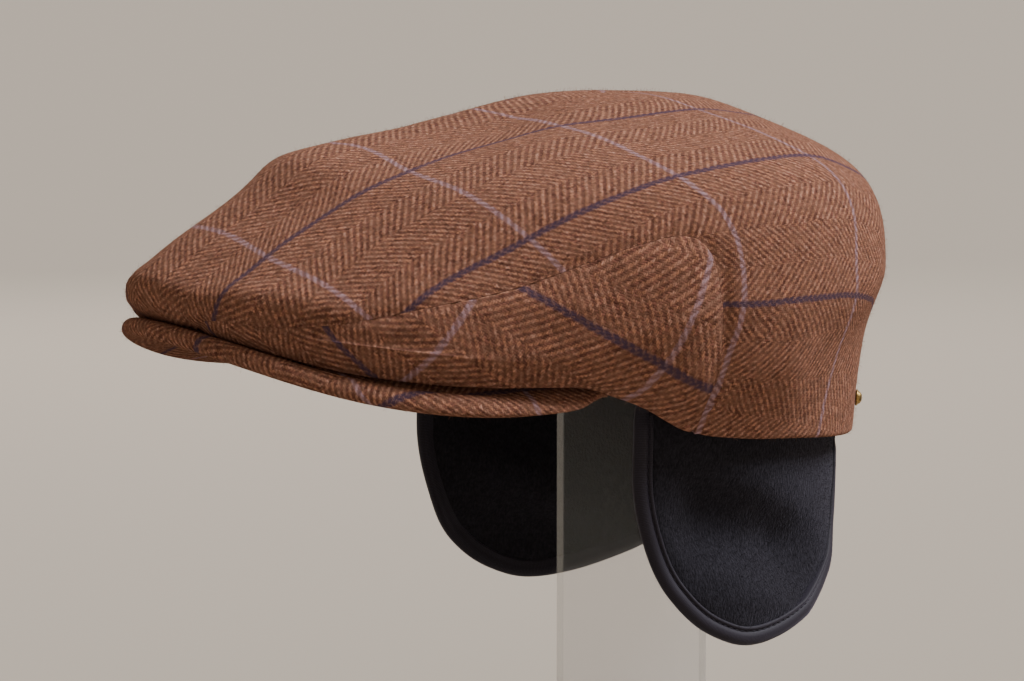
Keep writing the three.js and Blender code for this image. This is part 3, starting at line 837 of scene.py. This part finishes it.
def makeSidePanel(name, side):
    s = sidePanel
    rough = crownFromMap(sidePanelMap((1, 1)))
    flat = refined(flattenCloth(rough, rough[..., 1:], []), *s["finer"])
    fromCentre = flat - np.array(s["fanCentre"], float)
    angle = np.arctan2(fromCentre[..., 1], fromCentre[..., 0])
    across = (angle - math.radians(s["fanStripe"])) * s["fanReach"]
    along = (np.hypot(fromCentre[..., 0], fromCentre[..., 1]) - s["fanCheck"]) * s["checkStretch"]
    places = sidePanelMap(s["finer"])
    points = crownFromMap(places)
    seamLine = points[:, -1].copy()
    points[:, -1] += unit(points[:, -2] - points[:, -1]) * crown["seamGap"]
    outer, inner = (placed(wall, side) for wall in clothWall(places, points, seamLine, points[:, 0]))
    panelFrom(name, [(outer, inner, np.stack([across * side, along], -1), side > 0)], False)


for label, side in bothSides:
    makeSidePanel("crownSide" + label, side)
print("side panels:", len(pieces["crownSideLeft"].data.polygons), "faces each")


# peak: a stiff plate bent to an arch and covered in the same cloth

peakPlate = {
    "thickness": 3.2,
    "tipThickness": 1.6,
    "taper": (35, 71),
    "middleZ": 49.5,
    "forwardFall": 0.063,
    "arch": 0.0035,
    "outer": ((0, 154), (15, 148.5), (30, 137), (45, 120), (58, 104.5), (65, 97.2), (71, 89.5)),
    "innerHalfLength": 103,
    "innerHalfWidth": 83,
    "steps": 150,
    "depthSteps": 26,
    "edgeSteps": 10,
    "bead": 2.6,             # the cover is thick along the front edge
    "beadReach": (4, 9.5),
    "beadTaper": (46, 64),
    "stripeAt": 31.2,
    "stripeStretch": 47 / 52,
    "checkAt": 111.4,
    "cut": (0.18, 0.13),
}


def makePeak():
    p = peakPlate
    end = p["taper"][1]
    angles = np.linspace(-end, end, p["steps"] + 1)
    inner = ovalReach(p["innerHalfLength"], p["innerHalfWidth"], angles)
    outer, = alongTable(p["outer"], np.abs(angles))
    thin = smoothSteps(np.abs(angles), *p["taper"])
    thickness = p["thickness"] + (p["tipThickness"] - p["thickness"]) * thin
    beads = p["bead"] * (1 - smoothSteps(np.abs(angles), *p["beadTaper"]))
    share = np.sin(np.linspace(0, math.pi / 2, p["depthSteps"] + 1))
    bend = np.radians(np.linspace(90, -90, p["edgeSteps"] + 1)[1:-1])
    rings, cloth = [], []
    for angle, start, finish, depth, bead in zip(angles, inner, outer, thickness, beads):
        half = (depth + bead) / 2
        flatReach = start + (finish - half - start) * share
        swell = bead * (1 - smoothSteps(finish - flatReach, *p["beadReach"]))
        reach = np.concatenate([flatReach, finish - half + half * np.cos(bend), flatReach[::-1]])
        lift = np.concatenate([depth + swell, half + half * np.sin(bend), np.zeros(len(share))])
        ring = atAngle(reach, angle, 0.0)
        ring[:, 2] = p["middleZ"] + p["forwardFall"] * ring[:, 1] - p["arch"] * ring[:, 0] ** 2 + lift
        rings.append(placed(ring))
        # the cover runs on round the front edge, and so does its pattern
        over = finish - half + (math.pi / 2 - bend) * half
        under = finish - half + math.pi * half + (finish - half - flatReach[::-1])
        run = atAngle(np.concatenate([flatReach, over, under]), angle, 0.0)
        arc = run[:, 0] * (1 + (p["arch"] * run[:, 0]) ** 2 * 2 / 3)  # length of the arch over its width
        cloth.append(np.stack([(arc - p["stripeAt"]) * p["stripeStretch"], -run[:, 1] - p["checkAt"]], -1))
    rings = np.array(rings)
    tubeFrom("stiffPeak", rings, tweed, np.array(cloth))
    skins["stiffPeak"] = [(rings, False)]


makePeak()
print("peak:", len(pieces["stiffPeak"].data.polygons), "faces")


# earflaps: fleece on an oval inside the rim, dented across and flared at the foot

earflap = {
    # angle and height of the edge, from the front of the flap round its foot to the back
    "outline": (
        (79.5, 26), (79, 8), (79, -10), (81.5, -26), (86.5, -42), (94.5, -54), (104, -61), (112, -63),
        (122, -61), (132, -56), (141, -49), (149, -38), (154.5, -22), (157.5, -5), (158, 9),
    ),
    "halfLength": 98,
    "halfWidth": 79.5,
    "thickness": 3.0,
    "turnUp": 9,
    "leavesRim": 4,
    "seatGap": 0.7,
    "meanReach": 88,
    "dentDepth": 7.5,
    "dentFront": (84, -13),
    "dentBack": (150, -44),
    "dentSpread": 13,
    "dentRise": (80, 99),
    "dentFade": (122, 146),
    "flare": 4,
    "flareRange": (-63, -28),
    "edgeSteps": 120,
    "topSteps": 40,
    "rings": 26,
    "firstRing": 0.02,
    "bindingWidth": 5.2,
    "underBinding": 0.9,     # the cloth runs on under the binding
    "sewnDip": 0.7,
    "sewnDipWidth": 2.6,
    "uneven": 0.35,
    "cut": (0.112, 0.086),
    "color": (0.009, 0.0085, 0.0108, 1),
    "pileColor": (0.024, 0.023, 0.0295, 1),
}


def makeFleece():
    material, tree = newMaterial("blackFleece", {
        "Roughness": 1.0, "Sheen Weight": 0.2, "Sheen Roughness": 0.45,
        "Sheen Tint": (0.5, 0.48, 0.62, 1), "Specular IOR Level": 0.05,
    })
    where = objectPlace(tree)
    tufts = noise(stretched(where, (1, 1, 0.55)), 1300, 3.0, 0.6)
    clumps = noise(where, 420, 3.0, 0.55)
    mix = tufts * 0.7 + clumps * 0.3
    color = blendColor(ramp(mix, 0.3, 0.8), earflap["color"], earflap["pileColor"])
    dress(tree, {"Base Color": color}, (mix, 0.9, 0.8))
    return material


def rimAt(angle):
    return alongTable(crown["edge"], angle)[1]


def flapReach(angle, z):
    f = earflap
    hang = ovalReach(f["halfLength"], f["halfWidth"], angle)
    (frontAngle, frontZ), (backAngle, backZ) = f["dentFront"], f["dentBack"]
    dentZ = frontZ + (backZ - frontZ) * (angle - frontAngle) / (backAngle - frontAngle)
    fade = smoothSteps(angle, *f["dentRise"]) * (1 - smoothSteps(angle, *f["dentFade"]))
    dent = f["dentDepth"] * fade * np.exp(-((z - dentZ) / f["dentSpread"]) ** 2)
    flare = f["flare"] * (1 - smoothSteps(z, *f["flareRange"]))
    rimZ = rimAt(angle)
    seatZ = np.maximum(z, rimZ)
    bulge = np.full(len(angle), crown["stations"][crown["bulge"]])
    low, high = halved(bulge, np.ones(len(angle)), lambda way: crownPoint(angle, way)[:, 2] > seatZ)
    seat = crownPoint(angle, (low + high) / 2)
    seatReach = np.hypot(seat[:, 0], seat[:, 1]) - crown["cloth"] - f["seatGap"]
    free = np.minimum(hang - dent + flare, seatReach)
    seated = smoothSteps(z, rimZ - f["leavesRim"], rimZ + f["turnUp"])
    return free + (seatReach - free) * seated


def flapPoints(place, inward=0.0):
    angle, z = place[:, 0], place[:, 1]
    return atAngle(flapReach(angle, z) - inward, angle, z)


def flapEdge(inset, steps):
    # the outline moved in by the inset, on the unrolled flap
    path = smoothPath(earflap["outline"], steps)
    scale = math.radians(earflap["meanReach"])
    along = unit(np.gradient(path, axis=0) * (scale, 1))
    return path + np.stack([-along[:, 1] * inset / scale, along[:, 0] * inset], 1)


def makeFlap(name, side, material):
    f = earflap
    edge = flapEdge(f["bindingWidth"] - f["underBinding"], f["edgeSteps"])
    topAngles = np.linspace(edge[-1, 0], edge[0, 0], f["topSteps"] + 1)[1:-1]
    edge = np.concatenate([edge, np.stack([topAngles, rimAt(topAngles) + f["turnUp"]], 1)])
    middle = edge.mean(0)
    sewnLine = flapPoints(edge)[:f["edgeSteps"]]
    outer, inner = [], []
    for share in np.sin(np.linspace(f["firstRing"], 1, f["rings"]) * math.pi / 2):
        place = middle + (edge - middle) * share
        points = flapPoints(place)
        out = atAngle(1.0, place[:, 0], 0.0)
        dip = f["sewnDip"] * np.exp(-(nearest(points, sewnLine) / f["sewnDipWidth"]) ** 2)
        angle, z = place[:, 0], place[:, 1]
        soft = f["uneven"] * np.sin(angle * 0.21 + z * 0.13) * np.sin(z * 0.19 + 0.7)
        outer.append(points + out * (soft - dip)[:, None])
        inner.append(points - out * (f["thickness"] + soft * 0.5 - dip)[:, None])
    rings = placed(np.array(outer + inner[::-1]), side)
    tubeFrom(name, rings, material)
    skins[name] = [(rings[:f["rings"]], side < 0)]


fleece = makeFleece()
for label, side in bothSides:
    makeFlap("earflap" + label, side, fleece)
print("earflaps:", len(pieces["earflapLeft"].data.polygons), "faces each")


# binding: a smooth tape folded over the flap's edge, with a sewn ridge beside the roll

binding = {
    # across the tape from the outer edge inwards, and height over the middle of the flap
    "profile": (
        (-2.6, 0.0), (-2.45, 0.95), (-1.8, 1.75), (-0.6, 2.2), (0.7, 2.1), (1.7, 1.55), (2.15, 1.05),
        (2.45, 1.3), (2.95, 1.62), (3.5, 1.45), (3.8, 0.9),
        (3.8, -0.9), (3.3, -1.5), (1.7, -1.7), (0.3, -2.1), (-1.2, -2.05), (-2.3, -1.1), (-2.6, 0.0),
    ),
    "profileSteps": 54,
    "steps": 200,
    "stitchAt": (2.15, 1.22),
    "stitchPitch": 2.6,
    "stitchSize": (0.95, 0.26, 0.22),
    "ribPitch": 0.55,
    "color": (0.007, 0.0055, 0.010, 1),
    "ribColor": (0.020, 0.016, 0.028, 1),
    "tuckIn": 7,          # the ends run on under the rim, pressed flat
    "pressed": 0.6,
}


def makeTape():
    material, tree = newMaterial("boundTape", {
        "Roughness": 0.62, "Sheen Weight": 0.18, "Sheen Roughness": 0.35,
        "Sheen Tint": (0.62, 0.56, 0.85, 1), "Specular IOR Level": 0.25,
    })
    place, across, _ = clothPlace(tree)
    ribs = (across * (2 * math.pi / binding["ribPitch"])).maths("SINE")
    weave = ribs * 0.25 + noise(place, 1.8, 3.0, 0.6)
    color = blendColor(ramp(weave, 0.3, 0.85), binding["color"], binding["ribColor"])
    dress(tree, {"Base Color": color}, (weave, 0.18, 0.5))
    return material


def bindingFrame():
    # centre line of the tape below the rim, with its directions across and out
    f, b = earflap, binding
    path = flapEdge(f["bindingWidth"] / 2, b["steps"])
    rimZ = rimAt(path[:, 0])
    keep = path[:, 1] < rimZ + b["tuckIn"]
    path, rimZ = path[keep], rimZ[keep]
    flat = 1 - (1 - b["pressed"]) * smoothSteps(path[:, 1], rimZ - b["tuckIn"], rimZ)
    centre = flapPoints(path, f["thickness"] / 2)
    along = unit(np.gradient(centre, axis=0))
    outward = atAngle(1.0, path[:, 0], 0.0)
    across = unit(np.cross(along, outward))
    flapMiddle = flapPoints(flapEdge(f["bindingWidth"], b["steps"])).mean(0)
    across *= np.sign(((flapMiddle - centre) * across).sum(1, keepdims=True))
    out = np.cross(across, along)
    out *= np.sign((out * outward).sum(1, keepdims=True))
    return centre, across, out * flat[:, None]


def makeBinding(name, side, material):
    b = binding
    centre, across, out = bindingFrame()
    profile = smoothPath(b["profile"], b["profileSteps"])[:-1]
    rings = centre[:, None] + across[:, None] * profile[None, :, :1] + out[:, None] * profile[None, :, 1:]
    cloth = np.stack(np.broadcast_arrays(lengthAlong(centre)[:, None], lengthAlong(profile)[None]), -1)
    tubeFrom(name, placed(rings, side), material, cloth)


tape = makeTape()
for label, side in bothSides:
    makeBinding("binding" + label, side, tape)
print("bindings:", len(pieces["bindingLeft"].data.polygons), "faces each")


# stud: a low brass dome on a flange

stud = {
    "angle": 158,
    "down": 0.97,
    "seat": 0.4,
    "sides": 48,
    "profileSteps": 40,
    # reach and height of the turned profile
    "profile": ((0, -0.25), (2.3, -0.25), (2.75, 0.0), (2.8, 0.25), (2.62, 0.5), (2.35, 0.62), (2.2, 0.9),
                (1.85, 1.4), (1.3, 1.78), (0.65, 1.97), (0, 2.0)),
    "color": (0.42, 0.27, 0.085, 1),
    "tarnish": (0.10, 0.066, 0.030, 1),
}


def makeBrass():
    material, tree = newMaterial("agedBrass", {"Metallic": 1.0})
    where = objectPlace(tree)
    spots = noise(where, 900, 4.0, 0.65)
    dress(tree, {
        "Base Color": blendColor(ramp(spots, 0.4, 0.68), stud["color"], stud["tarnish"]),
        "Roughness": ramp(spots, 0.3, 0.7, 0.28, 0.55),
    }, (noise(where, 3000), 0.03, 0.4))
    return material


def makeStud():
    s = stud
    place = onMap(np.array([s["angle"]]), np.array([s["down"]]))
    axis = crownNormals(place)[0]
    across = unit(np.cross(axis, (0, 0, 1)))
    up = np.cross(across, axis)
    foot = placed(crownFromMap(place)[0] + axis * s["seat"])
    profile = smoothPath(s["profile"], s["profileSteps"])
    turns = np.linspace(0, 2 * math.pi, s["sides"], endpoint=False)
    spoke = across * np.cos(turns)[:, None] + up * np.sin(turns)[:, None]
    rings = foot + profile[:, None, :1] * spoke[None] + axis * profile[:, None, 1:]
    meshFrom("backStud", rings, gridQuads(len(rings), s["sides"], ring=True), makeBrass())


makeStud()
print("stud made")


# stand: clear sheet with polished, slightly broken edges

standSheet = {
    "upright": 5.0,
    "front": 0,
    "back": 57,
    "topSteps": 8,
    "gap": 1.15,             # from the upright's top to the cloth
    "glue": 0.3,
    "length": 160,
    "width": 130,
    "plate": 6,
    "corner": 12,
    "cornerSteps": 10,
    "brokenEdge": 0.45,
    "sharpFrom": 40,
    "faceColor": (0.42, 0.45, 0.45, 1),
    "faceCover": 0.15,       # share of light that a face holds back
    "faceRoughness": (0.02, 0.08),
    # the edges are paler and less clear than the faces: a painted glint along the polished edges
    "edgeColor": (0.60, 0.64, 0.63, 1),
    "edgeCover": 0.34,
    "edgeRoughness": (0.12, 0.3),
}


def makeAcrylic(name, part):
    s = standSheet
    material, tree = newMaterial(name, {
        "Base Color": s[part + "Color"], "Alpha": s[part + "Cover"], "IOR": 1.49,
        "Specular IOR Level": 0.9, "Coat Weight": 1.0, "Coat Roughness": 0.03,
    })
    haze = noise(objectPlace(tree), 26, 3.0, 0.5)
    dress(tree, {"Roughness": ramp(haze, 0.35, 0.8, *s[part + "Roughness"])})
    return material


def bevelledPlate(name, outline, normal, depth, face, edge):
    # a flat outline carried through its depth, with its edges broken
    outline = np.array(outline, float)
    count = len(outline)
    points = np.concatenate([outline, outline + np.array(normal, float) * depth])
    faces = [tuple(range(count)), tuple(range(count, 2 * count))[::-1]]
    faces += [(i, count + i, count + (i + 1) % count, (i + 1) % count) for i in range(count)]
    made = meshFrom(name, points, faces, face)
    made.data.materials.append(edge)
    for side in made.data.polygons:
        side.use_smooth = False
        side.material_index = 0 if abs(side.normal.dot(normal)) > 0.9 else 1
    edges = made.modifiers.new("brokenEdge", "BEVEL")
    edges.width = standSheet["brokenEdge"] * mm
    edges.segments = 2
    edges.limit_method = "ANGLE"
    edges.angle_limit = math.radians(standSheet["sharpFrom"])


def makeStand():
    s = standSheet
    face = makeAcrylic("clearAcrylic", "face")
    # the edge material's paler colour is a painted glint
    edge = makeAcrylic("acrylicEdgeGlint", "edge")
    # the upright's top follows the inside of the crown
    half = s["upright"] / 2
    foot = s["plate"] + s["glue"]
    ys = np.linspace(s["back"], s["front"], s["topSteps"] + 1)
    angles = np.degrees(np.arctan2(half, -ys))

    def isShort(way):
        point = crownPoint(angles, way)
        return np.hypot(point[:, 0], point[:, 1]) < np.hypot(half, ys)

    low, _ = halved(np.zeros(len(ys)), np.full(len(ys), crown["stations"][crown["bulge"]]), isShort)
    tops = crownPoint(angles, low)[:, 2] - crown["cloth"] - s["gap"] + rimHeight
    outline = [(s["front"], foot), (s["back"], foot)] + list(zip(ys, tops))
    bevelledPlate("standUpright", [(-half, y, z) for y, z in outline], (1, 0, 0), s["upright"], face, edge)
    x, y, r = s["width"] / 2 - s["corner"], s["length"] / 2 - s["corner"], s["corner"]
    plate = []
    for quarter, (cx, cy) in enumerate(((x, y), (-x, y), (-x, -y), (x, -y))):
        for turn in np.radians(90 * quarter + np.linspace(0, 90, s["cornerSteps"] + 1)):
            plate.append((cx + r * math.cos(turn), cy + r * math.sin(turn), 0))
    bevelledPlate("standBase", plate, (0, 0, 1), s["plate"], face, edge)


makeStand()
print("stand made")


# loose fibres and stitches, grown by node trees

fuzz = {
    # fibres for each square metre, length, thickness, lean, seed
    "wool": (165000, 1.35, 0.024, 1.2, 3),
    "pile": (900000, 1.0, 0.045, 0.8, 11),
    "woolLight": (0.34, 0.18, 0.11, 1),
    "woolDark": (0.10, 0.048, 0.033, 1),
    "pileLight": (0.040, 0.038, 0.048, 1),
    "pileDark": (0.006, 0.0055, 0.007, 1),
    # a fibre's middle and tip: how far over and how far up, in lengths
    "bend": ((0.12, 0.6), (0.55, 0.8)),
    "sizes": (0.45, 1.25),
    "toneSeed": 7,
}


def newTree(name, inputs):
    tree = bpy.data.node_groups.new(name, "GeometryNodeTree")
    for label, kind in (("Geometry", "Geometry"),) + inputs + (("Material", "Material"),):
        tree.interface.new_socket(name=label, in_out="INPUT", socket_type="NodeSocket" + kind)
    tree.interface.new_socket(name="Geometry", in_out="OUTPUT", socket_type="NodeSocketGeometry")
    return tree, {socket.name: Wire(tree, socket) for socket in tree.nodes.new("NodeGroupInput").outputs}


def endTree(tree, grown, material):
    # instances become plain mesh of one material
    real = addNode(tree, "GeometryNodeRealizeInstances", {"Geometry": grown})
    painted = addNode(tree, "GeometryNodeSetMaterial", {"Geometry": real, "Material": material})
    plug(tree, tree.nodes.new("NodeGroupOutput").inputs["Geometry"], painted)
    return tree


def fibreTree():
    # short bent fibres scattered over a face, each with a tone of its own
    tree, given = newTree("looseFibres", (
        ("Density", "Float"), ("Length", "Float"), ("Thickness", "Float"), ("Lean", "Float"),
        ("Seed", "Int"),
    ))
    seed = given["Seed"]
    points = addNode(tree, "GeometryNodeDistributePointsOnFaces", {
        "Mesh": given["Geometry"], "Density": given["Density"], "Seed": seed,
    }, distribute_method="RANDOM")
    middle, tip = (
        addNode(tree, "ShaderNodeCombineXYZ", {"X": given["Length"] * over, "Z": given["Length"] * up})
        for over, up in fuzz["bend"]
    )
    curve = addNode(tree, "GeometryNodeCurveQuadraticBezier", {
        "Resolution": 6, "Start": (0, 0, 0), "Middle": middle, "End": tip,
    })
    curve = addNode(tree, "GeometryNodeResampleCurve", {"Curve": curve, "Count": 3})  # two straight bits
    section = addNode(tree, "GeometryNodeCurvePrimitiveCircle", {
        "Resolution": 3, "Radius": given["Thickness"],
    })
    fibre = addNode(tree, "GeometryNodeCurveToMesh", {
        "Curve": curve, "Profile Curve": section, "Fill Caps": False,
    })
    most = addNode(tree, "ShaderNodeCombineXYZ", {"X": given["Lean"], "Y": given["Lean"], "Z": math.pi})
    least = addNode(tree, "ShaderNodeVectorMath", {0: most, 1: (-1, -1, -1)}, operation="MULTIPLY")
    lean = addNode(tree, "FunctionNodeRandomValue", {0: least, 1: most, "Seed": seed},
                   data_type="FLOAT_VECTOR")
    turned = addNode(tree, "FunctionNodeRotateRotation", {
        0: points.also("Rotation"), 1: addNode(tree, "FunctionNodeEulerToRotation", {0: lean}),
    }, rotation_space="LOCAL")
    least, most = fuzz["sizes"]
    size = addNode(tree, "FunctionNodeRandomValue", {2: least, 3: most, "Seed": seed}, 1, data_type="FLOAT")
    grown = addNode(tree, "GeometryNodeInstanceOnPoints", {
        "Points": points, "Instance": fibre, "Rotation": turned, "Scale": size,
    })
    tone = addNode(tree, "FunctionNodeRandomValue", {2: 0.0, 3: 1.0, "Seed": fuzz["toneSeed"]}, 1,
                   data_type="FLOAT")
    grown = addNode(tree, "GeometryNodeStoreNamedAttribute", {
        "Geometry": grown, "Name": "tone", "Value": tone,
    }, data_type="FLOAT", domain="INSTANCE")
    return endTree(tree, grown, given["Material"])


def stitchTree():
    # one thread bead for each step along a sewn line
    tree, given = newTree("stitchRow", (("Pitch", "Float"), ("Size", "Vector")))
    line = addNode(tree, "GeometryNodeMeshToCurve", {"Mesh": given["Geometry"]})
    points = addNode(tree, "GeometryNodeCurveToPoints", {"Curve": line, "Length": given["Pitch"]},
                     mode="LENGTH")
    turn = addNode(tree, "FunctionNodeAlignRotationToVector", {"Vector": points.also("Tangent")}, axis="X")
    bead = addNode(tree, "GeometryNodeMeshUVSphere", {"Segments": 8, "Rings": 6, "Radius": 1.0})
    grown = addNode(tree, "GeometryNodeInstanceOnPoints", {
        "Points": points, "Instance": bead, "Rotation": turn, "Scale": given["Size"],
    })
    return endTree(tree, grown, given["Material"])


def growPiece(name, tree, base, values):
    # runs a tree on a base mesh and keeps the result as a plain mesh
    seed = addObject(name + "Base", base)
    grow = seed.modifiers.new("grow", "NODES")
    grow.node_group = tree
    for item in tree.interface.items_tree:
        if item.in_out == "INPUT" and item.name in values:
            grow[item.identifier] = values[item.name]
    graph = bpy.context.evaluated_depsgraph_get()
    grown = seed.evaluated_get(graph)
    mesh = bpy.data.meshes.new_from_object(grown, preserve_all_data_layers=True, depsgraph=graph)
    mesh.name = name
    bpy.data.objects.remove(seed)
    if not mesh.materials:
        mesh.materials.append(values["Material"])
    pieces[name] = addObject(name, mesh)


def skinMesh(name, skin):
    points, faces, count = [], [], 0
    for grid, turned in skin:
        rows, columns = grid.shape[:2]
        faces += gridQuads(rows, columns, count, turned)
        points.append(grid.reshape(-1, 3))
        count += rows * columns
    mesh = bpy.data.meshes.new(name)
    mesh.from_pydata((np.concatenate(points) * mm).tolist(), [], faces)
    middle = Vector((0, 0, rimHeight + capMiddle)) * mm
    if sum(face.area * face.normal.dot(face.center - middle) for face in mesh.polygons) < 0:
        mesh.flip_normals()
    return mesh


def makeFibreMaterial(name, kind):
    material, tree = newMaterial(name, {"Roughness": 0.95, "Specular IOR Level": 0.0})
    tone = addNode(tree, "ShaderNodeAttribute", None, "Fac", attribute_name="tone")
    dress(tree, {"Base Color": blendColor(tone, fuzz[kind + "Dark"], fuzz[kind + "Light"])})
    return material


def growFibres(name, base, kind):
    density, length, thickness, lean, seed = fuzz[kind]
    growPiece(name, fibres, skinMesh(name + "Skin", skins[base]), {
        "Density": float(density), "Length": length * mm, "Thickness": thickness * mm,
        "Lean": lean, "Seed": seed, "Material": fibreMaterials[kind],
    })


def sewStitches(name, side):
    b = binding
    centre, across, out = bindingFrame()
    inward, height = b["stitchAt"]
    line = placed(centre + across * inward + out * height, side)
    path = bpy.data.meshes.new(name + "Path")
    path.from_pydata((line * mm).tolist(), [(i, i + 1) for i in range(len(line) - 1)], [])
    size = tuple(part * mm for part in b["stitchSize"])
    growPiece(name, stitches, path, {"Pitch": b["stitchPitch"] * mm, "Size": size, "Material": tape})


fibres = fibreTree()
stitches = stitchTree()
fibreMaterials = {
    "wool": makeFibreMaterial("looseWool", "wool"),
    "pile": makeFibreMaterial("fleecePile", "pile"),
}
growFibres("crownTopFuzz", "crownTop", "wool")
for label, _ in bothSides:
    growFibres("crownSide" + label + "Fuzz", "crownSide" + label, "wool")
growFibres("peakFuzz", "stiffPeak", "wool")
for label, _ in bothSides:
    growFibres("earflap" + label + "Pile", "earflap" + label, "pile")
for label, side in bothSides:
    sewStitches("binding" + label + "Stitches", side)
print("fibres on the crown:", len(pieces["crownTopFuzz"].data.polygons), "faces")


# what each piece stands for, and what it is made of

madeOf = {
    # for each piece, its record slot and the solid that it stands for
    "crownTop": ("tweed", "top_panel"),
    "crownSideLeft": ("tweed", "side_panel_left"),
    "crownSideRight": ("tweed", "side_panel_right"),
    "stiffPeak": ("tweed", "peak"),
    "earflapLeft": ("fleece", "earflap_left"),
    "earflapRight": ("fleece", "earflap_right"),
    "bindingLeft": ("binding_tape", "earflap_binding_left"),
    "bindingRight": ("binding_tape", "earflap_binding_right"),
    "backStud": ("stud_brass", "back_stud"),
    "standUpright": ("clear_acrylic", "stand_upright"),
    "standBase": ("clear_acrylic", "stand_base"),
    "crownTopFuzz": ("tweed", None),
    "crownSideLeftFuzz": ("tweed", None),
    "crownSideRightFuzz": ("tweed", None),
    "peakFuzz": ("tweed", None),
    "earflapLeftPile": ("fleece", None),
    "earflapRightPile": ("fleece", None),
    "bindingLeftStitches": ("binding_tape", None),
    "bindingRightStitches": ("binding_tape", None),
}
for name, (slot, node) in madeOf.items():
    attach(pieces[name], "root")
    if node:
        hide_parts(node)
